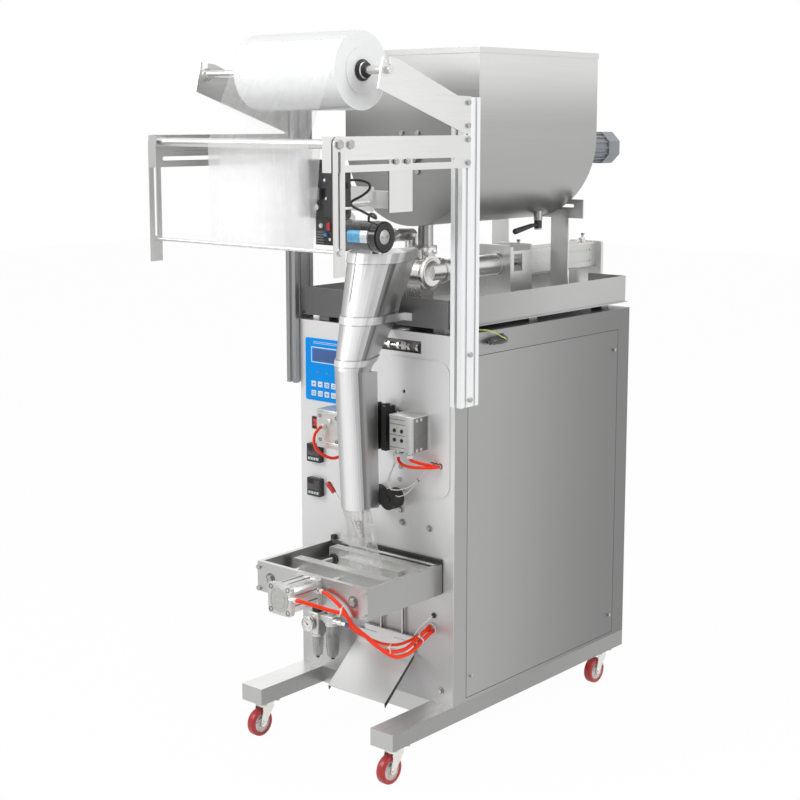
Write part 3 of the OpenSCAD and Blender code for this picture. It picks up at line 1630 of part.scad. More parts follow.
module hopper_supports() {
    z0 = tray_z0 + sheet;
    bar = [hopper_z0 + 2, hopper_z0 + 54];
    half = 184;
    leg = [75, 133];
    color("silver") at_origin() {
        plate_xz(hopper_y1, hopper_y1 + 4) difference() {
            translate([line_x - half, bar[0]]) square([2 * half, bar[1] - bar[0]]);
            for (s = [-1, 1]) {
                slot([line_x + s * 150, bar[0] + 34], [line_x + s * 80, bar[0] + 34], 4.5);
            }
        }
        for (s = [-1, 1]) {
            x = line_x + (s > 0 ? leg[0] : -leg[1]);
            difference() {
                union() {
                    block([x, hopper_y1 + 4, z0], [x + leg[1] - leg[0], hopper_y1 + 9, bar[0] + 15]);
                    block([x, hopper_y1 + 4, z0], [x + leg[1] - leg[0], hopper_y1 + 54, z0 + 5]);
                }
                bar_z(z0 - 1, z0 + 6, x + 29, hopper_y1 + 34, bolt_r + play);
            }
            for (dx = [14, 44]) {
                bolt([x + dx, hopper_y1 + 9, bar[0] + 7], [0, 1, 0], 0.5);
            }
        }
    }
}

module stirrer() {
    arm = paddle_r - 8;
    ends = [hopper_y + 45, hopper_y1 - 45];
    mid = (ends[0] + ends[1]) / 2;
    color("silver") at_origin() {
        bar_y(hopper_y - 6, stirrer_end, line_x, stirrer_z, stirrer_d / 2);
        for (s = [-1, 1]) {
            for (y = ends) {
                rod([line_x, y, stirrer_z], [line_x + s * arm, y, stirrer_z], 7);
            }
            x = line_x + s * arm;
            block([x - 8, ends[0] - 8, stirrer_z - 4], [x + 8, ends[1] + 8, stirrer_z + 4]);
            rod([line_x, mid, stirrer_z], [line_x, mid, stirrer_z + s * arm * 0.8], 7);
        }
    }
}

module stirrer_drive() {
    y0 = hopper_y1;
    h = gearbox / 2;
    motor_y0 = y0 + drive_flange + gearbox;
    end = rear_end;
    fan = 56;
    fins = 16;
    r = 40;
    color("dimgray") at_origin() difference() {
        union() {
            bar_y(y0, y0 + drive_flange, line_x, stirrer_z, h);
            plate_xz(y0 + drive_flange, motor_y0)
                rounded([line_x - h + 4, stirrer_z - h + 4], [line_x + h - 4, stirrer_z + h - 4], 8);
            bar_y(motor_y0, end - fan + 1, line_x, stirrer_z, r);
            for (i = [0:fins - 1]) {
                translate([line_x, motor_y0 + 12, stirrer_z]) rotate([0, 360 / fins * i, 0])
                    translate([r - 1, 0, -1.5]) cube([6, end - fan - motor_y0 - 12, 3]);
            }
            translate([line_x, end - fan, stirrer_z]) rotate([-90, 22.5, 0]) cylinder(h = fan, r = h + 2, $fn = 8);
        }
        bar_y(y0 - 1, stirrer_end + 2, line_x, stirrer_z, stirrer_d / 2 + run);
        for (k = [-3:3]) {
            w = sqrt(38 * 38 - pow(k * 9, 2));
            z = stirrer_z + k * 9;
            block([line_x - w, end - 3, z - 1.5], [line_x + w, end + 1, z + 1.5]);
        }
    }
}

module clamp_lever() {
    stud_z = hopper_z0 + 10;
    hub = [lever_at[0], lever_at[1], stud_z - 24];
    grip_end = hub + [0, -104, -14];
    grip_start = hub + [0, -30, -2];
    color("black") at_origin() difference() {
        union() {
            bar_z(stud_z - 34 + gap, stud_z - 12 - gap, hub[0], hub[1], 11);
            rod(hub, grip_start, 5);
            aim(grip_start, grip_end - grip_start) cylinder(h = norm(grip_end - grip_start), r1 = 6, r2 = 8);
            translate(grip_end) sphere(8);
        }
        bar_z(stud_z - 40, stud_z, hub[0], hub[1], lever_stud_r + run);
    }
}

module air_hoses() {
    up = [0, 0.1, 1];
    color("orangered") at_origin() {
        for (route = [jaw_hose_a, jaw_hose_b, unit_hose]) {
            hose(route, hose_r, up);
        }
        for (route = [block_hose_a, block_hose_b]) {
            hose(route, hose_r, [0.1, 1, 0]);
        }
        hose(loop_hose, hose_r, [1, 0.1, 0]);
    }
}

module cables() {
    color("black") at_origin() {
        hose(coder_cable, cable_r, [0, 0.1, 1]);
        hose(bar_wire, wire_r, [0, 1, 0.2]);
        hose(earth_wire, wire_r, [0, 0.1, 1]);
        bar_x(half_w, half_w + 8, 190, cab_z1 - 25, 12);
    }
}

base_frame();
cabinet_shell();
front_panel();
side_covers();
rear_cover();
control_panel();
panel_instruments();
power_rocker();
posts();
roll_arms();
side_plates();
fasteners();
film_roll();
roll_shaft();
front_roller();
second_roller();
dancer();
film_web();
coder_bracket();
coder_body();
coder_motor();
print_head();
forming_tube();
filling_nozzle();
seam_sealer();
seam_jaw_right();
seam_jaw_left();
pull_roller_right();
pull_roller_left();
release_lever();
jaw_frame();
jaw_front();
jaw_rear();
jaw_cylinder();
chute();
air_unit();
regulator_knob();
tray();
filler_plates();
product_cylinder();
filler_piston();
air_cylinder();
rotary_valve();
valve_rotor();
hopper_shell();
hopper_supports();
stirrer();
stirrer_drive();
clamp_lever();
air_hoses();
cables();
fork_front_left();
fork_front_right();
fork_rear_left();
fork_rear_right();
wheel_front_left();
wheel_front_right();
wheel_rear_left();
wheel_rear_right();
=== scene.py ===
"""Looks of the sauce packaging machine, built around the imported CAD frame.

Lengths in the builders below are millimetres in the machine's own frame: X to the
right seen from the operator, Y to the back from the cabinet's front, Z up from the floor.
"""

import math

import bmesh
import bpy
from mathutils import Matrix, Vector, noise


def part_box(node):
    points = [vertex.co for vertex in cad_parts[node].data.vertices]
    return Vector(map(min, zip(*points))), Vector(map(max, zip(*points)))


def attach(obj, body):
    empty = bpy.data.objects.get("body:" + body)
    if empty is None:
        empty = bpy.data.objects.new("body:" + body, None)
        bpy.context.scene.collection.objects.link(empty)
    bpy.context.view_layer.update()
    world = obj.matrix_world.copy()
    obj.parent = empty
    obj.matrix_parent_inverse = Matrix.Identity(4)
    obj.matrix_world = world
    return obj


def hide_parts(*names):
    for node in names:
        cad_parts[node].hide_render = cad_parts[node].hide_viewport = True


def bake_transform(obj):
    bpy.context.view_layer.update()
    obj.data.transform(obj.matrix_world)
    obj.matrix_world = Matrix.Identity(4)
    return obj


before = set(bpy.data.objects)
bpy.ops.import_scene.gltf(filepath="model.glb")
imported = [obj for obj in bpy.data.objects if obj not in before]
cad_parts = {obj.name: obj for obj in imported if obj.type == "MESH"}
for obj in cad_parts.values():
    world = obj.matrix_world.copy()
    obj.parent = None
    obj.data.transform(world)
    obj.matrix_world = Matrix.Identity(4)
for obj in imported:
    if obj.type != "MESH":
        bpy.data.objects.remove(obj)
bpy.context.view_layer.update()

MM = 0.001
MID_Y = 250.5  # the frame's origin lies this far behind the cabinet's front
LINE_X = 62.0  # the film, the forming tube and the filler stand on this line
RIGHT, LEFT = (1, 0, 0), (-1, 0, 0)
BACK, FRONT = (0, 1, 0), (0, -1, 0)
UP, DOWN = (0, 0, 1), (0, 0, -1)


def metres(point):
    return Vector((point[0] * MM, (point[1] - MID_Y) * MM, point[2] * MM))


def add_object(name, data):
    piece = bpy.data.objects.new(name, data)
    bpy.context.scene.collection.objects.link(piece)
    return piece


# Node helpers


def feed(tree, node, inputs):
    """Each input takes a value, or is linked to the output that is given for it."""
    for key, value in inputs.items():
        if isinstance(value, bpy.types.NodeSocket):
            tree.links.new(value, node.inputs[key])
        else:
            node.inputs[key].default_value = value


def add_node(tree, kind, inputs=None, **settings):
    node = tree.nodes.new("ShaderNode" + kind)
    for key, value in settings.items():
        setattr(node, key, value)
    feed(tree, node, inputs or {})
    return node


def math_node(tree, operation, *values, clamp=False):
    return add_node(tree, "Math", dict(enumerate(values)), operation=operation, use_clamp=clamp).outputs[0]


def vector_node(tree, operation, inputs, output=0):
    return add_node(tree, "VectorMath", inputs, operation=operation).outputs[output]


def scaled(tree, color, level):
    return vector_node(tree, "SCALE", {0: color, "Scale": level})


def part_of(tree, vector, axis):
    return add_node(tree, "SeparateXYZ", {0: vector}).outputs[axis]


def mix_color(tree, factor, a, b):
    return add_node(tree, "Mix", {"Factor": factor, "A": a, "B": b}, data_type="RGBA").outputs["Result"]


def noise_node(tree, place, scale, detail, rough=0.55):
    """A noise whose grain is stretched when scale is a triple."""
    stretch = scale if isinstance(scale, tuple) else (scale, scale, scale)
    mapping = add_node(tree, "Mapping", {"Vector": place, "Scale": stretch})
    return add_node(tree, "TexNoise", {
        "Vector": mapping.outputs[0], "Scale": 1.0, "Detail": detail, "Roughness": rough}).outputs["Fac"]


def spread(tree, source, start, end, low=0.3, high=0.7, **settings):
    """Runs from start to end while source runs from low to high; a noise lies mostly in 0.3 to 0.7."""
    return add_node(tree, "MapRange", {
        "Value": source, "From Min": low, "From Max": high, "To Min": start, "To Max": end,
    }, **settings).outputs[0]


def ramp_node(tree, source, low, high, stops):
    """Grey values along source, which runs from low to high; stops are (place, grey), both ends first."""
    ramp = add_node(tree, "ValToRGB", {"Fac": spread(tree, source, 0.0, 1.0, low, high)})
    keys = ramp.color_ramp.elements
    for index, (at, grey) in enumerate(stops):
        key = keys[index] if index < 2 else keys.new((at - low) / (high - low))
        key.color = (grey, grey, grey, 1)
    return ramp.outputs["Color"]


def add_relief(tree, shader, height, strength, distance):
    relief = add_node(tree, "Bump", {"Height": height, "Strength": strength, "Distance": distance})
    feed(tree, shader, {"Normal": relief.outputs[0]})


# Camera and light

CAMERA_PLACE = (2602.6, -2909.5, 1644.4)
CAMERA_LENS = 68.158
CAMERA_SHIFT = -0.0625
CAMERA_DIP, CAMERA_HEADING = 0.150508, 0.7125115  # radians, below the horizon and left of +Y
WHITE = (1, 1, 1, 1)
SKY_STRENGTH = 0.42
FLOOR_HALF = 14.0
FLOOR_GREY = (0.9, 0.9, 0.9, 1)
FLOOR_GLOW_SHARE = 0.975  # a little shade stays visible below the machine


def make_camera():
    data = bpy.data.cameras.new("Camera")
    data.sensor_width = 36.0
    data.lens = CAMERA_LENS
    data.shift_y = CAMERA_SHIFT
    data.clip_end = 100.0
    camera = add_object("Camera", data)
    camera.location = metres(CAMERA_PLACE)
    camera.rotation_euler = (math.pi / 2 - CAMERA_DIP, 0.0, CAMERA_HEADING)
    bpy.context.scene.camera = camera


def make_light(name, place, target, size, power):
    data = bpy.data.lights.new(name, "AREA")
    data.shape = "RECTANGLE"
    data.size, data.size_y = size
    data.energy = power
    lamp = add_object(name, data)
    lamp.location = place
    aim = Vector(target) - Vector(place)
    lamp.rotation_euler = aim.to_track_quat("-Z", "Y").to_euler()


def seen_white(tree):
    """1 for camera, glossy and transmission rays, which meet plain white, and 0 for all others."""
    path = add_node(tree, "LightPath").outputs
    glare = math_node(tree, "MAXIMUM", path["Is Glossy Ray"], path["Is Transmission Ray"])
    return math_node(tree, "MAXIMUM", path["Is Camera Ray"], glare)


def make_world():
    world = bpy.data.worlds.new("Studio")
    bpy.context.scene.world = world
    world.use_nodes = True
    tree = world.node_tree
    tree.nodes.clear()
    soft = add_node(tree, "Background", {"Color": WHITE, "Strength": SKY_STRENGTH})
    white = add_node(tree, "Background", {"Color": WHITE, "Strength": 1.0})
    mix = add_node(tree, "MixShader", {"Fac": seen_white(tree), 1: soft.outputs[0], 2: white.outputs[0]})
    add_node(tree, "OutputWorld", {"Surface": mix.outputs[0]})


def stage_sheet(name, half_x, half_y, half_z):
    """A flat rectangle for the stage with an empty material; one of the halves is 0."""
    mesh = bpy.data.meshes.new(name)
    signs = ((-1, -1), (1, -1), (1, 1), (-1, 1))
    mesh.from_pydata([(u * half_x, v * half_y, v * half_z) for u, v in signs], [], [(0, 1, 2, 3)])
    material = bpy.data.materials.new(name)
    material.use_nodes = True
    material.node_tree.nodes.clear()
    mesh.materials.append(material)
    return add_object(name, mesh), material.node_tree


def make_floor():
    floor, tree = stage_sheet("Floor", FLOOR_HALF, FLOOR_HALF, 0)
    paper = add_node(tree, "BsdfDiffuse", {"Color": FLOOR_GREY})
    white = add_node(tree, "Emission", {"Strength": 1.0})
    share = math_node(tree, "MULTIPLY", seen_white(tree), FLOOR_GLOW_SHARE)
    mix = add_node(tree, "MixShader", {"Fac": share, 1: paper.outputs[0], 2: white.outputs[0]})
    add_node(tree, "OutputMaterial", {"Surface": mix.outputs[0]})


def make_card(name, place, width, height, grey):
    """A tall grey card beside the machine, seen only in reflections."""
    card, tree = stage_sheet(name, width / 2, 0, height / 2)
    card.location = place
    card.rotation_euler = (0.0, 0.0, math.atan2(place[1], place[0]) + math.pi / 2)
    card.visible_camera = False
    card.visible_diffuse = False
    card.visible_shadow = False
    card.visible_transmission = False
    glow = add_node(tree, "Emission", {"Color": (grey, grey, grey, 1)})
    add_node(tree, "OutputMaterial", {"Surface": glow.outputs[0]})


make_camera()
make_world()
make_floor()
bpy.context.scene.view_settings.view_transform = "Standard"
make_light("Key", (-2.2, -3.4, 3.4), (0.0, -0.2, 0.9), (2.4, 2.0), 95)
make_light("Side", (3.6, 0.6, 2.6), (0.0, 0.1, 0.9), (1.6, 2.6), 48)
make_light("Top", (0.2, -0.2, 4.2), (0.0, 0.0, 0.5), (2.6, 2.6), 60)
make_card("Card_right", (2.6, -1.3, 1.3), 0.7, 2.6, 0.10)
make_card("Card_left", (-2.6, -2.2, 1.3), 0.9, 2.6, 0.22)


# Materials

materials = {}
ROUGH_WANDER = 0.05
COAT_ROUGH = 0.12


def graph(name):
    """A new material's node tree, its shader and the object's own coordinates."""
    material = bpy.data.materials.new(name)
    material.use_nodes = True
    materials[name] = material
    tree = material.node_tree
    return tree, tree.nodes["Principled BSDF"], add_node(tree, "TexCoord").outputs["Object"]


def surface(name, color, rough, metal, grain, tint, bump, depth=0.0004, cloud=2.5, cloudiness=0.05,
            coat=0.0, painted_shade_along=None, painted_side_light=None, shine=0.5):
    """A finish whose colour, roughness and relief vary with a stretched grain and broad clouds.

    fade = (axis, from, to, darkest) darkens the colour along one axis, a painted shade.
    facing = (x, y, z) weighs the colour by the side the surface faces, a painted light and shade.
    """
    tree, shader, place = graph(name)
    fine = noise_node(tree, place, grain, 4.0)
    broad = noise_node(tree, place, cloud, 2.0)
    level = math_node(tree, "MULTIPLY", spread(tree, fine, 1 - tint, 1 + tint),
                      spread(tree, broad, 1 - cloudiness, 1 + cloudiness))
    # Painted shade: the colour darkens along one axis of the object.
    if painted_shade_along:
        axis, start, end, darkest = painted_shade_along
        shade = spread(tree, part_of(tree, place, axis), 1.0, darkest, start, end,
                       interpolation_type="SMOOTHSTEP")
        level = math_node(tree, "MULTIPLY", level, shade)
    # Painted light and shade: faces that point one way are made lighter or darker.
    if painted_side_light:
        normal = add_node(tree, "NewGeometry").outputs["True Normal"]
        square = vector_node(tree, "MULTIPLY", {0: normal, 1: normal})
        painted_side_tone = vector_node(tree, "DOT_PRODUCT", {0: square, 1: painted_side_light}, "Value")
        level = math_node(tree, "MULTIPLY", level, painted_side_tone)
    feed(tree, shader, {
        "Base Color": scaled(tree, color, level),
        "Roughness": spread(tree, fine, max(rough - ROUGH_WANDER, 0.02), min(rough + ROUGH_WANDER, 1.0)),
        "Metallic": metal, "Specular IOR Level": shine, "Coat Weight": coat,
        "Coat Roughness": COAT_ROUGH})
    add_relief(tree, shader, fine, bump, depth)


TUBE_LOW, TUBE_HIGH = 1.0, 1.35
TUBE_BANDS = ((1.0370, 1.0540), (1.1400, 1.1610), (1.2910, 1.3170))  # two straps and the collar's band
# Direction along which the tube's painted reflection bands are laid.
TUBE_REFLECTION_ACROSS = (0.757, 0.654, 0.0)  # to the right in the photograph
FLANGE_GREY = (0.62, 0.62, 0.61, 1)
FLANGE_HALF = 0.014


def tube_finish():
    """Polished rolled sheet with painted reflection: tone runs round the tube by the way it faces, with
    brighter painted bands where the straps sit.
    """
    tree, shader, place = graph("tube")
    normal = add_node(tree, "NewGeometry").outputs["Normal"]
    across = vector_node(tree, "DOT_PRODUCT", {0: normal, 1: TUBE_REFLECTION_ACROSS}, "Value")
    height = part_of(tree, place, "Z")
    # Painted reflection: tone set by the way the surface faces, bright at the left with a dark band at the
    # right; the straps get their own brighter one.
    painted_round_reflection = ramp_node(tree, across, -1.0, 1.0, [
        (-1.0, 0.34), (1.0, 0.66), (-0.86, 0.50), (-0.6, 0.80), (-0.25, 0.86), (0.1, 0.76), (0.36, 0.60),
        (0.50, 0.34), (0.60, 0.15), (0.68, 0.19), (0.78, 0.44), (0.90, 0.62)])
    painted_strap_reflection = ramp_node(tree, across, -1.0, 1.0, [
        (-1.0, 0.6), (1.0, 0.5), (-0.7, 0.80), (0.1, 0.90), (0.55, 0.45), (0.8, 0.72)])
    bands = [(TUBE_LOW, 0.0), (TUBE_HIGH, 0.0)]
    lines = [(TUBE_LOW, 1.0), (TUBE_HIGH, 1.0)]
    for low, high in TUBE_BANDS:
        bands += [(low - 0.0008, 0.0), (low, 1.0), (high, 1.0), (high + 0.0008, 0.0)]
    for z in [edge for band in TUBE_BANDS for edge in band][:-1]:
        lines += [(z - 0.0014, 1.0), (z - 0.0004, 0.45), (z + 0.0004, 0.45), (z + 0.0014, 1.0)]
    is_band = ramp_node(tree, height, TUBE_LOW, TUBE_HIGH, bands)
    line_tone = ramp_node(tree, height, TUBE_LOW, TUBE_HIGH, lines)
    fine = noise_node(tree, place, (90, 90, 20), 2.0)
    lined = vector_node(tree, "MULTIPLY", {0: mix_color(tree, is_band, painted_round_reflection, painted_strap_reflection), 1: line_tone})
    tone = scaled(tree, lined, spread(tree, fine, 0.985, 1.015))
    side = math_node(tree, "GREATER_THAN", math_node(tree, "ABSOLUTE", part_of(tree, normal, "X")), 0.9)
    from_line = math_node(tree, "SUBTRACT", part_of(tree, place, "X"), LINE_X * MM)
    near = math_node(tree, "LESS_THAN", math_node(tree, "ABSOLUTE", from_line), FLANGE_HALF)
    flange = math_node(tree, "MULTIPLY", side, near)
    feed(tree, shader, {
        "Base Color": mix_color(tree, flange, tone, FLANGE_GREY),
        "Roughness": spread(tree, fine, 0.37, 0.43), "Metallic": 1.0})


def clear_film(name, opacity, wander, rough, streaks, tone=0.95, through=0.0, rim=0.0):
    """Thin plastic film: mostly see-through, hazy in clouds, with white streaks where it creases; with rim,
    more opaque at grazing angles and darker there, a painted shade along its outline.
    """
    tree, shader, place = graph(name)
    haze = noise_node(tree, place, (9, 9, 14), 4.0, 0.6)
    crease = noise_node(tree, place, (46, 30, 7), 3.0, 0.5)
    cover = math_node(tree, "ADD", spread(tree, haze, opacity - wander, opacity + wander),
                      spread(tree, crease, 0.0, streaks, 0.56, 0.70), clamp=True)
    shade = spread(tree, haze, 0.97, 1.03)
    if rim:
        edge = add_node(tree, "LayerWeight", {"Blend": 0.35}).outputs["Facing"]
        cover = math_node(tree, "ADD", cover, math_node(tree, "MULTIPLY", edge, rim))
        # Painted shade: the film's colour darkens where it is seen at a grazing angle.
        shade = math_node(tree, "SUBTRACT", 1.0, math_node(tree, "MULTIPLY", edge, 0.45))
    feed(tree, shader, {
        "Alpha": cover, "Base Color": scaled(tree, (tone, tone, tone), shade), "Roughness": rough,
        "Specular IOR Level": 0.6, "Transmission Weight": through, "IOR": 1.12 if through else 1.45})
    add_relief(tree, shader, crease, 0.4, 0.003)


def clear_bowl(name, color, opacity):
    """Smoky clear plastic with moulding ripples."""
    tree, shader, place = graph(name)
    flow = noise_node(tree, place, (60, 60, 25), 3.0)
    feed(tree, shader, {
        "Alpha": spread(tree, flow, opacity - 0.08, opacity + 0.08),
        "Base Color": scaled(tree, color, spread(tree, flow, 0.9, 1.1)),
        "Roughness": 0.08, "Coat Weight": 0.5})


ALONG_X = (6, 900, 900)
ALONG_Y = (900, 6, 900)
ALONG_Z = (700, 700, 5)

surface("steel", (0.70, 0.70, 0.69), 0.32, 1.0, ALONG_Z, 0.02, 0.04)
surface("steel_x", (0.70, 0.70, 0.69), 0.30, 1.0, ALONG_X, 0.02, 0.04)
surface("steel_y", (0.72, 0.72, 0.71), 0.32, 1.0, ALONG_Y, 0.02, 0.04)
# Chute: painted shade, darker on faces that point sideways and darker towards the bottom.
surface("chute", (0.64, 0.64, 0.635), 0.36, 1.0, ALONG_Y, 0.02, 0.03, painted_side_light=(0.25, 1.0, 1.0),
        painted_shade_along=(2, 0.26, 0.15, 0.66))
# Base frame: painted shade on the sides and fronts of the legs, tops left brightest.
surface("base", (0.86, 0.86, 0.85), 0.32, 0.95, ALONG_Y, 0.04, 0.08, painted_side_light=(0.38, 0.60, 1.0))
# Cabinet: painted shade, darker towards the back and on its sides and top.
surface("cabinet", (0.62, 0.62, 0.615), 0.36, 0.95, (900, 5, 900), 0.03, 0.06, cloud=(0.6, 0.9, 0.5),
        painted_shade_along=(1, -0.25, 0.55, 0.56), painted_side_light=(0.62, 1.0, 0.85))
# Side covers: the cabinet's steel given a darker base colour as painted shade, and painted shade darker
# towards the back.
surface("side_sheet", (0.40, 0.40, 0.397), 0.38, 0.95, (900, 900, 4), 0.03, 0.05,
        cloud=(0.5, 0.7, 0.5), painted_shade_along=(1, -0.25, 0.55, 0.56))
# Hopper: painted shade, darker lower down and on the faces that point front and back.
surface("hopper", (0.70, 0.70, 0.695), 0.34, 1.0, (5, 5, 700), 0.03, 0.06, cloud=0.8,
        painted_shade_along=(2, 1.81, 1.62, 0.60), painted_side_light=(1.0, 0.72, 1.0))
# Tray: painted shade, darker towards the front and on front and back faces, with painted light on its top.
surface("tray", (0.50, 0.50, 0.497), 0.34, 1.0, ALONG_Y, 0.04, 0.06, painted_shade_along=(1, 0.30, -0.25, 0.72),
        painted_side_light=(1.0, 0.55, 1.2))
# Jaw frame plates: painted shade on the sides and painted light on the tops.
surface("frame_plate", (0.62, 0.62, 0.61), 0.32, 1.0, ALONG_X, 0.05, 0.08, painted_side_light=(0.62, 0.85, 1.2))
# Front panel: painted shade, darker towards the bottom.
surface("front", (0.82, 0.82, 0.82), 0.34, 0.25, 220, 0.006, 0.01, cloudiness=0.01, coat=0.2,
        painted_shade_along=(2, 0.72, 0.20, 0.62))
surface("bolt", (0.46, 0.455, 0.44), 0.30, 1.0, 120, 0.08, 0.12)
surface("turned", (0.72, 0.71, 0.69), 0.24, 1.0, 300, 0.05, 0.08)
surface("zinc", (0.76, 0.75, 0.71), 0.26, 1.0, 120, 0.08, 0.12)
# Posts: painted shade, the left post darker than the right.
surface("profile", (0.88, 0.885, 0.89), 0.32, 0.9, (500, 500, 5), 0.04, 0.08,
        painted_shade_along=(0, 0.05, -0.25, 0.5))
surface("alloy", (0.62, 0.62, 0.60), 0.42, 0.85, 240, 0.08, 0.2)
surface("cast", (0.50, 0.50, 0.48), 0.5, 0.6, 160, 0.12, 0.4, depth=0.0008)
surface("blue", (0.002, 0.30, 0.86), 0.5, 0.0, 400, 0.03, 0.02, shine=0.12)
surface("black", (0.022, 0.022, 0.024), 0.42, 0.0, 500, 0.15, 0.25)
surface("black_gloss", (0.018, 0.018, 0.02), 0.16, 0.0, 90, 0.1, 0.03, coat=0.5)
surface("red", (0.55, 0.022, 0.018), 0.25, 0.0, 300, 0.06, 0.05, coat=0.4)
surface("tyre", (0.46, 0.020, 0.022), 0.36, 0.0, 260, 0.10, 0.12, coat=0.2)
surface("rim", (0.62, 0.58, 0.56), 0.36, 0.4, 200, 0.08, 0.1)
surface("hose", (1.0, 0.045, 0.006), 0.36, 0.0, 120, 0.04, 0.03, shine=0.3)
surface("white", (0.82, 0.82, 0.80), 0.45, 0.0, 300, 0.04, 0.1)
surface("pale_key", (0.74, 0.80, 0.86), 0.4, 0.0, 300, 0.03, 0.06)
surface("display", (0.075, 0.14, 0.34), 0.5, 0.0, 900, 0.08, 0.02, shine=0.15)
surface("rubber", (0.035, 0.034, 0.033), 0.62, 0.0, 400, 0.2, 0.35)
surface("brass", (0.72, 0.52, 0.22), 0.3, 1.0, 200, 0.08, 0.1)
surface("fitting_blue", (0.06, 0.22, 0.55), 0.35, 0.0, 300, 0.05, 0.08)
surface("green", (0.16, 0.42, 0.06), 0.4, 0.0, 90, 0.3, 0.05)
surface("earth", (0.52, 0.68, 0.10), 0.4, 0.0, 60, 0.3, 0.05)
surface("dark_steel", (0.22, 0.22, 0.22), 0.42, 0.8, 300, 0.15, 0.25)
surface("drive", (0.25, 0.27, 0.29), 0.45, 0.3, 240, 0.10, 0.3)
# Film roll: painted shade on the faces that point up and down, with the ends and front slightly lighter.
surface("roll", (0.93, 0.935, 0.94), 0.30, 0.0, (3, 500, 500), 0.02, 0.08, coat=0.3, cloudiness=0.02,
        painted_side_light=(1.06, 1.03, 0.52))
surface("display_dark", (0.030, 0.026, 0.028), 0.14, 0.0, 300, 0.1, 0.02, coat=0.6)
surface("segment", (0.30, 0.045, 0.035), 0.4, 0.0, 300, 0.1, 0.02)
surface("dial", (0.85, 0.85, 0.83), 0.35, 0.0, 200, 0.03, 0.02)
surface("oil", (0.30, 0.31, 0.28), 0.2, 0.0, 60, 0.1, 0.02)
surface("sky", (0.10, 0.42, 0.72), 0.3, 0.2, 80, 0.12, 0.03)
surface("silver", (0.72, 0.74, 0.76), 0.32, 0.6, 80, 0.10, 0.03)
surface("barrel", (0.66, 0.66, 0.65), 0.30, 0.95, ALONG_Y, 0.03, 0.05)

tube_finish()
clear_film("film", 0.80, 0.05, 0.6, 0.1, 1.0, through=0.7)
clear_film("film_thin", 0.30, 0.06, 0.6, 0.1, 1.0, through=0.7)
clear_film("film_clear", 0.045, 0.02, 0.10, 0.03)
# The bag's outline carries painted shade.
clear_film("bag", 0.16, 0.10, 0.08, 0.75, rim=0.55)
clear_bowl("bowl", (0.42, 0.44, 0.42), 0.55)

# Finish and the nodes that have it; the others are plain steel
NODES_OF_FINISH = {
    "base": "base_frame", "cabinet": "cabinet_shell", "front": "front_panel",
    "side_sheet": "side_covers", "blue": "control_panel",
    "black": "panel_instruments coder_body seam_jaw_right seam_jaw_left regulator_knob clamp_lever",
    "red": "power_rocker", "profile": "posts",
    "steel_y": "roll_arms side_plates product_cylinder stirrer", "bolt": "fasteners",
    "roll": "film_roll",
    "turned": "roll_shaft filling_nozzle release_lever filler_piston rotary_valve valve_rotor",
    "steel_x": "front_roller second_roller", "black_gloss": "coder_motor", "dark_steel": "print_head",
    "tube": "forming_tube", "alloy": "seam_sealer jaw_front jaw_rear jaw_cylinder air_cylinder",
    "rubber": "pull_roller_right pull_roller_left", "frame_plate": "jaw_frame", "chute": "chute",
    "cast": "air_unit", "tray": "tray", "hopper": "hopper_shell", "drive": "stirrer_drive",
    "zinc": "fork_front_left fork_front_right fork_rear_left fork_rear_right",
    "tyre": "wheel_front_left wheel_front_right wheel_rear_left wheel_rear_right",
}
node_finish = {node: finish for finish, nodes in NODES_OF_FINISH.items() for node in nodes.split()}
for node_name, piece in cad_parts.items():
    piece.data.materials.clear()
    piece.data.materials.append(materials[node_finish.get(node_name, "steel")])


# Mesh builders

TURN = 2 * math.pi
SHARP_ANGLE = 35  # degrees


def metre_mesh(name, bm, finishes):
    """The mesh of bm, brought from the machine's millimetres to the frame's metres."""
    bm.transform(Matrix.Scale(MM, 4) @ Matrix.Translation((0, -MID_Y, 0)))
    mesh = bpy.data.meshes.new(name)
    bm.to_mesh(mesh)
    bm.free()
    for finish in finishes:
        mesh.materials.append(materials[finish])
    return mesh


def join_rings(bm, a, b):
    """Faces between two closed rings of points; a ring of one point makes a tip."""
    count = max(len(a), len(b))
    faces = []
    for i in range(count):
        j = (i + 1) % count
        corners = dict.fromkeys((a[i % len(a)], a[j % len(a)], b[j % len(b)], b[i % len(b)]))
        if len(corners) > 2:
            faces.append(bm.faces.new(tuple(corners)))
    return faces


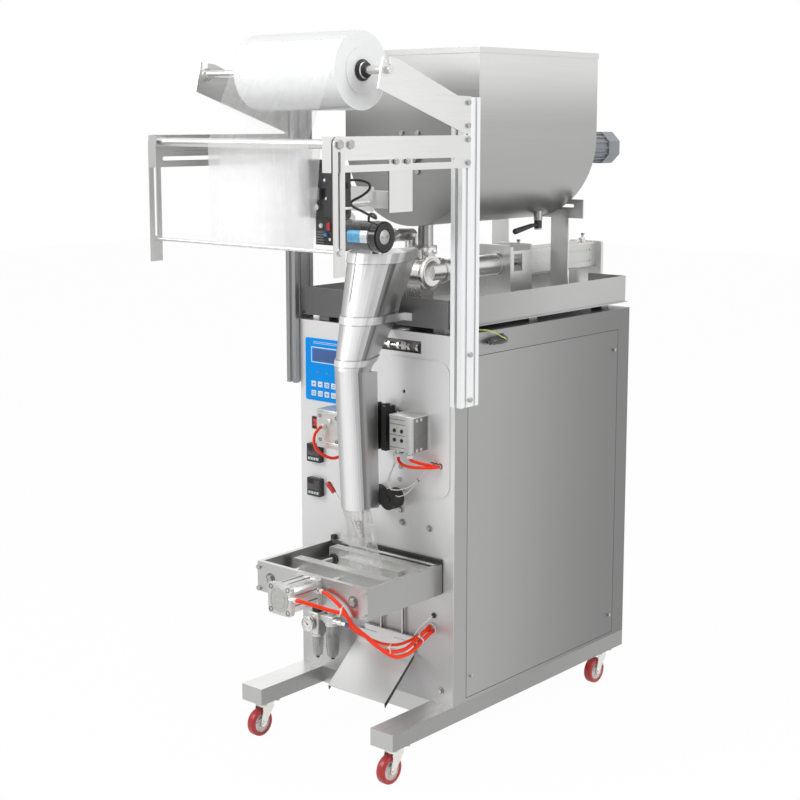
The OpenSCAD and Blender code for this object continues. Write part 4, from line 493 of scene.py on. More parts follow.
class Shape:
    """One piece put together from rounded blocks, turned parts, plates and bent rods."""

    def __init__(self, name):
        self.name = name
        self.bm = bmesh.new()
        self.finishes = []

    def paint(self, faces, finish):
        if finish not in self.finishes:
            self.finishes.append(finish)
        for face in faces:
            face.material_index = self.finishes.index(finish)
            face.smooth = True

    def bevel(self, edges, offset, segments, finish):
        return bmesh.ops.bevel(
            self.bm, geom=edges, offset=offset, segments=segments, profile=0.5, affect="EDGES",
            material=self.finishes.index(finish))["faces"]

    def block(self, low, high, finish, r=0.6):
        """A box from corner low to corner high, with its edges rounded to r."""
        size = [b - a for a, b in zip(low, high)]
        middle = Vector([(a + b) / 2 for a, b in zip(low, high)])
        made = bmesh.ops.create_cube(self.bm, size=1.0, matrix=Matrix.LocRotScale(middle, None, size))
        faces = {f for v in made["verts"] for f in v.link_faces}
        self.paint(faces, finish)
        edges = list({e for f in faces for e in f.edges})
        for face in self.bevel(edges, min(r, min(size) * 0.45), 3, finish):
            face.smooth = True

    def turned(self, centre, axis, profile, finish, sides=40):
        """profile is a list of (radius, distance along the axis)."""
        aim = Vector(axis).normalized().to_track_quat("Z", "Y").to_matrix()
        rings = []
        for radius, along in profile:
            turns = [TURN * i / sides for i in range(sides if radius else 1)]
            rings.append([
                self.bm.verts.new(Vector(centre) + aim @ Vector((
                    radius * math.cos(a), radius * math.sin(a), along)))
                for a in turns
            ])
        self.paint([f for a, b in zip(rings, rings[1:]) for f in join_rings(self.bm, a, b)], finish)

    def plate(self, outline, y0, y1, finish, r=0.6):
        """outline is a list of (x, z) round a flat piece between y0 and y1."""
        front, rear = ([self.bm.verts.new((x, y, z)) for x, z in outline] for y in (y0, y1))
        faces = [self.bm.faces.new(front), self.bm.faces.new(list(reversed(rear)))]
        rims = list(faces[0].edges) + list(faces[1].edges)
        self.paint(faces + join_rings(self.bm, rear, front), finish)
        self.bevel(rims, r, 2, finish)

    def rod(self, points, radius, finish, sides=10):
        """A bent rod or wire along points."""
        points = [Vector(p) for p in points]
        rings = []
        up = None
        for i, p in enumerate(points):
            ahead = (points[min(i + 1, len(points) - 1)] - points[max(i - 1, 0)]).normalized()
            if up is None:
                up = ahead.orthogonal().normalized()
            up = (up - ahead * up.dot(ahead)).normalized()
            side = ahead.cross(up)
            rings.append([
                self.bm.verts.new(p + radius * (up * math.cos(a) + side * math.sin(a)))
                for a in [TURN * k / sides for k in range(sides)]
            ])
        faces = [self.bm.faces.new(list(reversed(rings[0]))), self.bm.faces.new(rings[-1])]
        for a, b in zip(rings, rings[1:]):
            faces += join_rings(self.bm, a, b)
        self.paint(faces, finish)

    def ride(self, slot, replaces=(), body="machine"):
        bmesh.ops.recalc_face_normals(self.bm, faces=self.bm.faces)
        mesh = metre_mesh(self.name, self.bm, self.finishes)
        mesh.set_sharp_from_angle(angle=math.radians(SHARP_ANGLE))
        piece = add_object(self.name, mesh)
        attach(piece, body)
        if replaces:
            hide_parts(*replaces)


# Hoses, wires and film


def smooth_route(points, steps=6):
    """Catmull-Rom line through points, in millimetres."""
    p = [Vector(q) for q in points]
    p = [2 * p[0] - p[1], *p, 2 * p[-1] - p[-2]]
    line = []
    for a, b, c, d in zip(p, p[1:], p[2:], p[3:]):
        for t in [i / steps for i in range(steps)]:
            line.append(0.5 * (
                2 * b + (c - a) * t + (2 * a - 5 * b + 4 * c - d) * t * t
                + (3 * b - a - 3 * c + d) * t * t * t))
    return [*line, p[-2]]


def make_cord(name, route, diameter, finish, node):
    line = [metres(p) for p in smooth_route(route)]
    data = bpy.data.curves.new(name, "CURVE")
    data.dimensions = "3D"
    data.bevel_depth = diameter / 2 * MM
    data.bevel_resolution = 5
    data.use_fill_caps = True
    spline = data.splines.new("POLY")
    spline.points.add(len(line) - 1)
    for point, q in zip(spline.points, line):
        point.co = (*q, 1.0)
    data.materials.append(materials[finish])
    piece = add_object(name, data)
    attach(piece, "machine")
    if node:
        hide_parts(node)


HOSES = {
    "hose_jaw_front": [
        (93, -394, 492), (98, -394, 492), (110, -391, 492), (128, -376, 485), (152, -350, 472),
        (172, -325, 461), (182, -309, 452), (190, -298, 430), (200, -270, 400), (212, -220, 352),
        (216, -175, 331), (210, -120, 322), (202, -80, 325), (197, -50, 333), (196, -20, 343),
        (195, -8, 347), (195, -3, 347)],
    "hose_jaw_back": [
        (93, -301, 492), (98, -301, 492), (110, -301, 490), (135, -302, 480), (162, -302, 464),
        (182, -299, 441), (193, -288, 417), (207, -255, 386), (220, -210, 341), (225, -170, 318),
        (219, -118, 311), (211, -78, 315), (206, -48, 323), (205, -20, 333), (205, -8, 337),
        (205, -3, 337)],
    "hose_air_unit": [
        (-50, -57, 310), (-45, -57, 310), (-33, -58, 308), (0, -64, 300), (50, -68, 295),
        (95, -68, 294), (135, -60, 300), (165, -46, 315), (182, -28, 330), (191, -16, 336),
        (193, -8, 338), (193, -3, 338)],
    "hose_block_left": [
        (125, -48, 801), (125, -48, 797), (126, -49, 790), (134, -53, 782), (152, -56, 777),
        (175, -52, 775), (197, -42, 775), (213, -28, 775), (223, -18, 776), (226, -11, 776),
        (226, -7, 776)],
    "hose_block_right": [
        (163, -48, 801), (163, -48, 797), (166, -47, 791), (176, -44, 788), (191, -36, 784),
        (204, -24, 780), (210, -18, 778), (213, -11, 776), (213, -7, 776)],
    "hose_loop": [
        (-114, -78, 846), (-114, -82, 846), (-116, -89, 842), (-124, -95, 828), (-128, -96, 808),
        (-122, -94, 788), (-108, -84, 772), (-92, -66, 762), (-82, -53, 764), (-77, -45, 768),
        (-77, -44, 773), (-77, -44, 778)],
}
for name, route in HOSES.items():
    make_cord(name, route, 10 if "jaw" in name else 8, "hose", "air_hoses")

WIRES = {
    "wire_coder": (6, "rubber", [
        (230, -385, 1505), (230, -380, 1505), (238, -362, 1509), (262, -340, 1509), (286, -336, 1502),
        (287, -336, 1489), (268, -340, 1474), (240, -344, 1460), (226, -326, 1448), (222, -290, 1435),
        (220, -258, 1423), (205, -222, 1414), (165, -180, 1418), (125, -150, 1419), (107, -137, 1411),
        (104, -135, 1405), (104, -135, 1400)]),
    "wire_jaw_bar": (3, "white", [
        (92, -30, 800), (98, -34, 770), (98, -56, 735), (106, -60, 712), (126, -50, 708),
        (150, -32, 718), (172, -16, 742), (190, -16, 765), (200, -11, 776), (200, -7, 776)]),
    "wire_earth": (3, "earth", [
        (250, 104, 1126), (250, 104, 1121), (254, 107, 1118), (264, 116, 1117), (274, 130, 1115),
        (284, 148, 1107), (290, 168, 1096), (291, 182, 1090), (287, 189, 1087), (282, 190, 1087),
        (277, 190, 1087)]),
}
for name, (diameter, finish, route) in WIRES.items():
    make_cord(name, route, diameter, finish, "cables")

PROBES = {
    "wire_probe": [
        (101, -22, 801), (102, -22, 785), (92, -34, 752), (88, -40, 725), (98, -44, 700), (118, -42, 688),
        (140, -34, 698), (152, -22, 716), (154, -14, 728), (154, -9, 730)],
    "wire_heater": [
        (206, -9, 379), (206, -16, 377), (200, -30, 366), (188, -42, 350), (186, -56, 336)],
}
for name, route in PROBES.items():
    make_cord(name, route, 3, "white", None)


# Film: rollers, rod and path as (y, z) places and radii
ROLL, ROLL_R = (-295.0, 1758.0), 91.5
FRONT_ROLLER, SECOND_ROLLER, ROLLER_R = (-462.0, 1592.0), (-421.0, 1592.0), 10.5
DANCER_ROD, ROD_R = (-462.0, 1354.0), 4.5
SHEET_END = (-141.0, 1300.0)
FILM_HALF, MOUTH_HALF = 165.0, 65.0
FILM_COLUMNS = 36
RIPPLE, RIPPLE_ACROSS, RIPPLE_ALONG, RIPPLE_SEED = 0.4, 2.4, 0.09, 10
SHEET_ROWS, LOOP_ROWS, UPPER_ROWS = 44, 30, 24
ROLL_WRAP = math.radians(24)
BAG_COLUMNS, BAG_ROWS = 96, 60
BAG_TOP, BAG_FLAT, BAG_BOTTOM = 664.0, 533.0, 415.0
BAG_R, BAG_HALF, BAG_FLAT_T = 36.0, 57.0, 0.84  # round at the tube, flat between the jaws
PLEAT_DEPTH, FOLD_DEPTH = 0.055, 0.10
TUBE_Y, JAW_Y = -138.0, -106.0


def circle_arc(centre, radius, start, end, steps):
    turns = [start + (end - start) * i / steps for i in range(steps + 1)]
    return [(centre[0] + radius * math.cos(a), centre[1] + radius * math.sin(a)) for a in turns]


def belt_normal(a, ra, b, rb, side):
    """Angle at which a film leaves roller a for roller b, both in the plane of Y and Z."""
    gap = (b[0] - a[0], b[1] - a[1])
    return math.atan2(gap[1], gap[0]) + side * math.acos((ra - rb) / math.hypot(*gap))


def line_between(a, b, steps):
    return [(a[0] + (b[0] - a[0]) * i / steps, a[1] + (b[1] - a[1]) * i / steps) for i in range(steps + 1)]


def film_piece(name, bm, finish):
    """The piece made of bm in place of film_web, and its area in square metres."""
    area = sum(face.calc_area() for face in bm.faces) * MM * MM
    piece = add_object(name, metre_mesh(name, bm, [finish]))
    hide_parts("film_web")
    return piece, area


def film_strip(name, path, half_widths, finish, ripple=0.0):
    """A strip of film along path, a list of (y, z), with faint ripples of the height ripple."""
    bm = bmesh.new()
    rows = []
    for i, ((y, z), half) in enumerate(zip(path, half_widths)):
        row = []
        for u in [j / FILM_COLUMNS * 2 - 1 for j in range(FILM_COLUMNS + 1)]:
            wave = noise.noise(Vector((u * RIPPLE_ACROSS, i * RIPPLE_ALONG, RIPPLE_SEED))) * ripple
            row.append(bm.verts.new((LINE_X + u * half, y - wave, z + wave * 0.2)))
        rows.append(row)
    for a, b in zip(rows, rows[1:]):
        for j in range(FILM_COLUMNS):
            bm.faces.new((a[j], a[j + 1], b[j + 1], b[j])).smooth = True
    piece, area = film_piece(name, bm, finish)
    return piece


def make_film():
    leave_roll = belt_normal(ROLL, ROLL_R, FRONT_ROLLER, ROLLER_R, -1)
    leave_front = belt_normal(FRONT_ROLLER, ROLLER_R, DANCER_ROD, ROD_R, -1)
    cross = math.atan2(SECOND_ROLLER[1] - DANCER_ROD[1], SECOND_ROLLER[0] - DANCER_ROD[0]) - math.acos(
        (ROD_R + ROLLER_R) / math.dist(DANCER_ROD, SECOND_ROLLER))
    leave_second = belt_normal(SECOND_ROLLER, ROLLER_R, SHEET_END, 0, 1)
    around_roll = circle_arc(ROLL, ROLL_R, leave_roll - ROLL_WRAP, leave_roll, 6)
    on_front = circle_arc(FRONT_ROLLER, ROLLER_R, leave_roll + TURN, leave_front + TURN, 10)
    on_rod = circle_arc(DANCER_ROD, ROD_R, leave_front, cross, 8)
    on_second = circle_arc(SECOND_ROLLER, ROLLER_R, cross + math.pi, leave_second, 10)
    upper = around_roll[:-1] + line_between(around_roll[-1], on_front[0], UPPER_ROWS) + on_front[1:5]
    loop = on_front[4:-1] + line_between(on_front[-1], on_rod[0], LOOP_ROWS)[:-1] + on_rod
    loop += line_between(on_rod[-1], on_second[0], LOOP_ROWS)[1:] + on_second[1:4]
    last = on_second[3:-1] + line_between(on_second[-1], SHEET_END, SHEET_ROWS)
    widths = [FILM_HALF] * len(on_second[3:-1]) + [
        FILM_HALF + (MOUTH_HALF - FILM_HALF) * i / SHEET_ROWS for i in range(SHEET_ROWS + 1)]
    upper_piece = film_strip("film_upper", upper, [FILM_HALF] * len(upper),
                             "film_thin")
    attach(upper_piece, "machine")
    loop_piece = film_strip("film_loop", loop, [FILM_HALF] * len(loop), "film")
    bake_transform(loop_piece)
    last_piece = film_strip("film_sheet", last, widths, "film_clear",
                            RIPPLE)
    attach(last_piece, "machine")


def make_bag():
    """The filled end of the film below the forming tube: round at the tube, flat between the jaws."""
    bm = bmesh.new()
    rings = []
    for i in range(BAG_ROWS + 1):
        z = BAG_TOP + (BAG_BOTTOM - BAG_TOP) * i / BAG_ROWS
        t = min(1.0, (BAG_TOP - z) / (BAG_TOP - BAG_FLAT))
        ease = t * t * (3 - 2 * t)
        half_x = BAG_R + (BAG_HALF - BAG_R) * t
        half_y = BAG_R * (1 - t) + BAG_FLAT_T / 2 * t
        mid_y = TUBE_Y + (JAW_Y - TUBE_Y) * t
        ring = []
        for a in [TURN * j / BAG_COLUMNS for j in range(BAG_COLUMNS)]:
            pleats = 0.5 + 0.5 * math.cos(9 * a + 2.2 * t + math.sin(3 * a))
            pinch = 1 - PLEAT_DEPTH * (1 - ease) * pleats
            fold = 1 - FOLD_DEPTH * t * (1 - t) * (1 + math.cos(5 * a))
            ring.append(bm.verts.new((
                LINE_X + half_x * math.cos(a) * fold, mid_y + half_y * math.sin(a) * pinch, z)))
        rings.append(ring)
    for a, b in zip(rings, rings[1:]):
        for face in join_rings(bm, a, b):
            face.smooth = True
    piece, area = film_piece("film_bag", bm, "bag")
    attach(piece, "machine")


make_film()
make_bag()


# Casters

WHEEL_R = 37.5
SPOKES, SPOKE_LEAN = 5, 0.12


def make_wheel(node, x, y):
    wheel = Shape("caster_" + node)
    centre = (x, y, WHEEL_R)
    for s in (-1, 1):
        wheel.turned(centre, (s, 0, 0), [
            (25.0, 9.4), (26.0, 11.0), (27.5, 12.0), (33.5, 12.0), (35.6, 11.0), (37.0, 8.6),
            (WHEEL_R, 5.0), (WHEEL_R, 0.0)], "tyre")
        wheel.turned(centre, (s, 0, 0), [
            (4.2, 13.4), (7.2, 13.4), (7.2, 12.2), (10.6, 12.2), (11.4, 11.4), (12.6, 8.6),
            (18.0, 7.6), (23.4, 8.4), (24.4, 10.2), (25.6, 10.4), (26.0, 9.4)], "rim")
        wheel.turned(centre, (s, 0, 0), [(4.2, 12.6), (6.8, 13.45), (6.8, 12.9)], "dark_steel")
        for k in range(SPOKES):
            a = TURN * (k + 0.25) / SPOKES
            wheel.rod([
                (x + s * out, y + r * math.cos(turn), WHEEL_R + r * math.sin(turn))
                for out, r, turn in ((7.7, 12.5, a), (8.2, 23.5, a + SPOKE_LEAN))], 1.5, "rim", 8)
    wheel.ride("red_tyre", [node], node)


for row, y in (("front", -208.0), ("rear", 712.0)):
    for side, x in (("left", -232.0), ("right", 232.0)):
        make_wheel(f"wheel_{row}_{side}", x, y)


# Control face

PANEL_MIDDLE, PANEL_BOTTOM = -168.0, 894.0
KEY_PITCH, ROW_PITCH = 24.4, 25.6
CONTROLLERS = ((-210.0, 750.0), (-210.0, 655.0))
CONTROLLER_FACE = -14.0
GLYPHS = (  # bars on a key as (left, bottom, right, top): plus, minus, square, two bars
    ((-4.5, -1.0, 4.5, 1.0), (-1.0, -4.5, 1.0, 4.5)),
    ((-4.5, -1.0, 4.5, 1.0),),
    ((-4.0, -4.0, 4.0, -2.4), (-4.0, 2.4, 4.0, 4.0), (-4.0, -4.0, -2.4, 4.0), (2.4, -4.0, 4.0, 4.0)),
    ((-4.5, 1.6, 4.5, 3.2), (-4.5, -3.2, 4.5, -1.6)))


def make_panel():
    face = Shape("panel_display")
    for half, low, high, front, finish in (
            (57, 104, 147, -3.5, "pale_key"), (54.5, 106.5, 144.5, -4.0, "blue"),
            (50, 109, 142, -4.3, "display")):
        face.block((PANEL_MIDDLE - half, front, PANEL_BOTTOM + low),
                   (PANEL_MIDDLE + half, front + 0.7, PANEL_BOTTOM + high), finish, 0.3)
    for low in (156, 160):
        face.block((PANEL_MIDDLE - 50, -2.5, PANEL_BOTTOM + low),
                   (PANEL_MIDDLE + 50, -1.9, PANEL_BOTTOM + low + 1.2), "pale_key", 0.2)
    face.ride("blue_panel")
    keys = Shape("panel_keys")
    for column in range(-2, 3):
        for row in (0, 1):
            x = PANEL_MIDDLE + column * KEY_PITCH
            z = PANEL_BOTTOM + 20 + row * ROW_PITCH
            keys.block((x - 8.6, -3.5, z - 7.6), (x + 8.6, -2.2, z + 7.6), "pale_key", 1.2)
            dark = "green" if (column, row) == (1, 0) else "blue"
            for x0, z0, x1, z1 in GLYPHS[(column + 2 * row) % 4]:
                keys.block((x + x0, -3.9, z + z0), (x + x1, -3.3, z + z1), dark, 0.2)
    for k, finish in enumerate(("red", "green", "pale_key")):
        keys.turned((PANEL_MIDDLE - 34 + k * 34, -2.4, PANEL_BOTTOM + 78), FRONT,
                    [(2.2, -0.6), (2.2, 0.3), (1.4, 0.9), (0, 1.1)], finish, 20)
    keys.ride("blue_panel")


def make_controller(index, x, z):
    front = CONTROLLER_FACE
    unit = Shape(f"controller_{index}")
    unit.block((x - 21, front - 0.6, z - 8), (x + 21, front + 0.8, z + 20), "display_dark", 0.5)
    unit.block((x - 21, front - 0.9, z - 20), (x + 21, front + 0.6, z - 11), "dark_steel", 0.5)
    for cx in (x - 15, x - 5, x + 5, x + 15):
        unit.block((cx - 3.4, front - 1.9, z - 18.4), (cx + 3.4, front - 0.6, z - 12.8), "pale_key", 0.7)
        unit.block((cx - 1.6, front - 2.15, z - 16.1), (cx + 1.6, front - 1.7, z - 15.1), "black", 0.15)
    for cx in (x + 8, x - 3, x - 14):
        for dz in (0, 12):
            unit.block((cx - 2.4, front - 0.8, z - 4.6 + dz), (cx + 2.4, front - 0.3, z - 3.9 + dz),
                       "segment", 0.1)
    unit.ride("black_plastic")


make_panel()
for index, (x, z) in enumerate(CONTROLLERS, 1):
    make_controller(index, x, z)


# Air unit at the lower left

AIR_Y, AIR_TOP = -45.0, 322.0
FILTER_X, OILER_X = -169.0, -113.0


def make_air_unit():
    unit = Shape("air_unit_body")
    y, top = AIR_Y, AIR_TOP
    unit.block((FILTER_X - 19, y - 19, top - 61), (FILTER_X + 19, y + 19, top), "alloy", 4)
    for k in range(4):
        z = top - 52 + k * 12
        unit.block((FILTER_X - 19.6, y - 15, z), (FILTER_X + 19.6, y + 15, z + 6), "alloy", 1.2)
    unit.block((OILER_X - 19, y - 19, top - 22), (OILER_X + 19, y + 19, top), "alloy", 3)
    unit.turned((OILER_X, y, top - 20), UP, [(20.6, -8), (21.4, -6), (21.4, 0), (19, 2)], "alloy")
    unit.turned((FILTER_X, y, top - 61), UP, [(17.6, -8), (18.4, -6), (18.4, 0), (17, 2)], "alloy")
    unit.turned((OILER_X, y, top), UP, [(9, -2), (9, 1), (7.4, 4), (5, 5.6), (0, 6)], "bowl", 24)
    unit.block((FILTER_X + 18, y - 12, top - 20), (OILER_X - 18, y + 12, top - 4), "alloy", 2)
    unit.block((FILTER_X + 21, y, top - 14), (OILER_X - 21, 0, top - 4), "alloy", 1)
    unit.turned((OILER_X + 18, y - 12, top - 12), RIGHT, [
        (6.4, 0), (8.2, 0.6), (8.2, 8), (6, 9), (6, 16), (7.4, 17), (7.4, 26), (5.4, 28), (5.4, 44), (0, 45)],
        "zinc", 24)
    unit.turned((FILTER_X - 18, y, top - 12), LEFT, [
        (10.4, 0), (10.4, 8), (9, 9), (6, 9), (6, -10), (0, -11)], "zinc", 6)
    unit.turned((FILTER_X, y, top), UP, [(8, -1), (8, 8), (0, 8)], "dark_steel", 24)
    unit.ride("unit_plastic", ["air_unit"])
    bowls = Shape("air_unit_bowls")
    bowls.turned((FILTER_X, y, top - 66), UP, [
        (16.6, 4), (16.4, -4), (15.2, -44), (13.4, -56), (8, -61), (0, -62)], "bowl")
    bowls.turned((OILER_X, y, top - 26), UP, [
        (19.6, 4), (19.2, -4), (18.0, -72), (15.4, -86), (9, -92), (0, -93)], "bowl")
    bowls.ride("unit_plastic", ["air_unit"])
    inner = Shape("air_unit_inner")
    for x, down, profile, finish, sides in (
            (FILTER_X, 61, [(9, 0), (9, -30), (6, -34), (6, -44), (0, -45)], "dial", 40),
            (FILTER_X, 128, [(5, 2), (5, -3), (3.6, -4), (3.6, -5), (0, -5)], "black", 20),
            (OILER_X, 22, [(3, 0), (3, -72), (0, -73)], "dial", 16),
            (OILER_X, 60, [(16.4, 0), (15.6, -40), (8, -50), (0, -51)], "oil", 40),
            (OILER_X, 118, [(5, 2), (5, -6), (0, -7)], "black", 20)):
        inner.turned((x, y, top - down), UP, profile, finish, sides)
    inner.ride("unit_plastic", ["air_unit"])


def make_gauge():
    x, y, z = FILTER_X - 8, AIR_Y - 19, AIR_TOP - 32
    gauge = Shape("pressure_gauge")

    def mark(turn, start, end, depth, radius, finish):
        a = math.radians(turn)
        ends = [(x + math.cos(a) * r, y - depth, z + math.sin(a) * r) for r in (start, end)]
        gauge.rod(ends, radius, finish, 6)

    gauge.turned((x, y, z), FRONT, [
        (6, -2), (6, 3), (18.5, 4), (20.8, 5.5), (21.5, 8), (21.5, 14.5), (20.6, 16), (19, 16), (18.8, 13.6)],
        "turned")
    gauge.turned((x, y, z), FRONT, [(18.8, 13.6), (0, 13.6)], "dial")
    for k in range(11):
        mark(225 - 27 * k, 12.8 if k % 5 else 11.0, 15.8, 13.9, 0.42, "black")
    mark(140, -4, 11.5, 14.5, 0.6, "red")
    gauge.turned((x, y - 13.6, z), FRONT, [(2.2, 0), (2.2, 1.2), (0, 1.6)], "black", 16)
    gauge.ride("unit_plastic", ["air_unit"])


make_air_unit()
make_gauge()


# Fittings and ties

JAW_PORTS = ((93, -394, 492), (93, -301, 492))
BLOCK_PORTS = ((125, -48, 801), (163, -48, 801))


def push_fitting(shape, place, axis, collar="white"):
    shape.turned(place, axis, [(7.2, -9), (7.2, -3.4), (6.6, -3)], "zinc", 6)
    shape.turned(place, axis, [(5.6, -3.4), (6.2, -2.6), (6.2, 3.4), (5.4, 4.6), (4.3, 4.8)], collar, 24)


def tie_ring(shape, centre, ahead, wide, high):
    """A cable tie: a flat band on an ellipse round a hose bundle, with its head and tail."""
    ahead = Vector(ahead).normalized()
    side = ahead.cross(Vector(UP)).normalized()
    up = side.cross(ahead)
    ring = [
        Vector(centre) + side * wide * math.cos(a) + up * high * math.sin(a)
        for a in [TURN * k / 20 for k in range(21)]
    ]
    for shift in (-1.1, 0, 1.1):
        shape.rod([p + ahead * shift for p in ring], 0.8, "white", 6)
    head = Vector(centre) + up * (high + 1.5)
    shape.block([c - 2.4 for c in head], [c + 2.4 for c in head], "white", 0.6)
    shape.rod([head, head + up * 6 + side * 2, head + up * 12 + side * 5], 0.9, "white", 6)


def make_trim():
    trim = Shape("air_fittings")
    for place in JAW_PORTS:
        push_fitting(trim, place, RIGHT)
    push_fitting(trim, (-50, -57, 310), RIGHT, "fitting_blue")
    for place in BLOCK_PORTS:
        push_fitting(trim, place, DOWN)
    push_fitting(trim, (-114, -78, 846), FRONT)
    push_fitting(trim, (-77, -44, 778), DOWN)
    trim.ride("zinc")
    ties = Shape("cable_ties")
    tie_ring(ties, (172, -322, 459), (20, 25, -14), 10.5, 8.5)
    tie_ring(ties, (216, -195, 336), (5, 45, -18), 10.5, 8.5)
    tie_ring(ties, (202, -55, 326), (-4, 28, 6), 12.5, 9.5)
    ties.ride("wire")
    ring = Shape("gland_ring")
    ring.turned((200, -3, 342), FRONT, [
        (14.6, 0), (15.6, 0.5), (15.8, 2.4), (14.8, 3), (13.4, 2.6), (13.4, 0)], "white")
    ring.ride("wire")


# Cross sealer

JAW_X, JAW_Z = 44.0, 485.0
CYLINDER_Y = (-400.0, -289.0)
CAP_T = 15
GUIDE_X, GUIDE_Z = 144.0, 482.0
FRAME_X, FRAME_Z = (-147.0, 235.0), (443.0, 522.0)


def soft_square(x, z, half, corner, steps=6):
    """A square outline with round corners."""
    flat = half - corner
    return [
        (x + sx * flat + corner * math.cos(a), z + sz * flat + corner * math.sin(a))
        for turn, (sx, sz) in enumerate(((1, 1), (-1, 1), (-1, -1), (1, -1)))
        for a in [math.pi / 2 * (turn + k / steps) for k in range(steps + 1)]
    ]


def make_jaw_cylinder():
    x, z, (y0, y1) = JAW_X, JAW_Z, CYLINDER_Y
    corners = [(sx, sz) for sx in (-1, 1) for sz in (-1, 1)]
    body = Shape("jaw_cylinder_dressed")
    for low, high in ((y0, y0 + CAP_T), (y1 - CAP_T, y1 - 0.3)):
        body.plate(soft_square(x, z, 39, 17), low, high, "alloy", 1.2)
        for sx, sz in corners:
            body.turned((x + sx * 30, (low + high) / 2, z + sz * 30), FRONT, [
                (0, -7.3), (8.6, -7.3), (9, -6.9), (9, 6.9), (8.6, 7.3), (0, 7.3)], "alloy", 24)
    body.plate(soft_square(x, z, 36.5, 20), y0 + 14, y1 - 14, "barrel", 0.4)
    for side in (-1, 1):
        for middle, half, low, high in ((36, 1.6, 11, 14), (36, 1.6, -14, -11), (12, 1.5, 35, 37.6)):
            body.block((x + side * middle - half, y0 + CAP_T, z + low),
                       (x + side * middle + half, y1 - CAP_T, z + high), "dark_steel", 0.3)
    for sx, sz in corners:
        body.turned((x + sx * 29, y0 + 0.6, z + sz * 29), FRONT, [
            (0, 0), (6.8, 0), (7.2, 0.5), (7.2, 1.3), (5.2, 1.5), (5.2, -3.0), (0, -3.0)], "dark_steel", 6)
    body.turned((x, y0, z), FRONT, [
        (32, -0.5), (32, 1.2), (31, 2.2), (27.5, 2.2), (27, 1.2), (22, 1.2), (21.4, 2.4), (14, 2.4),
        (13.4, 1.6), (0, 1.6)], "cast", 56)
    for y in (y0 + 6, y1 - 12):
        body.turned((x + 38, y, z + 7), RIGHT, [
            (9, -3), (9, 0.8), (8, 1.6), (7.4, 1.6), (7.4, 8), (0, 8.4)], "turned", 6)
    body.ride("profile", ["jaw_cylinder"])


def make_jaw_trim():
    (left, right), (low, high) = FRAME_X, FRAME_Z
    seal = Shape("jaw_frame_seal")
    seal.block((-20, -7, high - 0.6), (right - 0.5, -1.6, high + 11), "rubber", 1.0)
    seal.block((-20, -14.5, high - 0.6), (right - 0.5, -6, high + 2.4), "rubber", 1.0)
    seal.block((left - 0.5, -14.5, high - 0.6), (left + 12, -1.6, high + 11), "rubber", 1.0)
    seal.block((right - 4, -4.4, low + 2), (right + 0.6, -0.8, high + 2.4), "rubber", 0.5)
    seal.block((left - 0.6, -4.4, low + 2), (left + 4, -0.8, high + 2.4), "rubber", 0.5)
    seal.ride("black_plastic")
    bushes, nuts = Shape("jaw_bushes"), Shape("guide_nuts")
    for x in (JAW_X - GUIDE_X, JAW_X + GUIDE_X):
        bushes.turned((x, -51.0, GUIDE_Z), FRONT, [
            (9, -0.5), (15, -0.5), (15.4, 0), (15.4, 3.4), (14.6, 4.2), (11, 4.6), (9, 4.6)], "rubber", 30)
        nuts.turned((x, -294.0, GUIDE_Z), FRONT, [
            (0, -1), (9, -1), (9, 2.2), (8, 3.4), (4, 3.4), (3.8, 2.2), (0, 2.2)], "bolt", 6)
        nuts.turned((x, -289.0, GUIDE_Z), FRONT, [
            (0, 0), (15.2, 0), (15.6, 0.5), (15.2, 1.4), (0, 1.4)], "dark_steel", 30)
    bushes.ride("jaw_metal", body="jaw_rear")
    nuts.ride("zinc")


# Seam sealer and the front's small pieces

BLOCK_X, BLOCK_Y, BLOCK_Z = (113.0, 191.0), -68.0, (815.0, 906.0)
PANEL_FACE = -2.2  # a little in front of the painted sheet
COVER_FACE = (268.2, 269.25)
CABINET_Y = (3, 747)
LEVER_FOOT, LEVER_REACH = (-60.0, -60.0, 640.0), (-48.0, 0.0, 46.0)


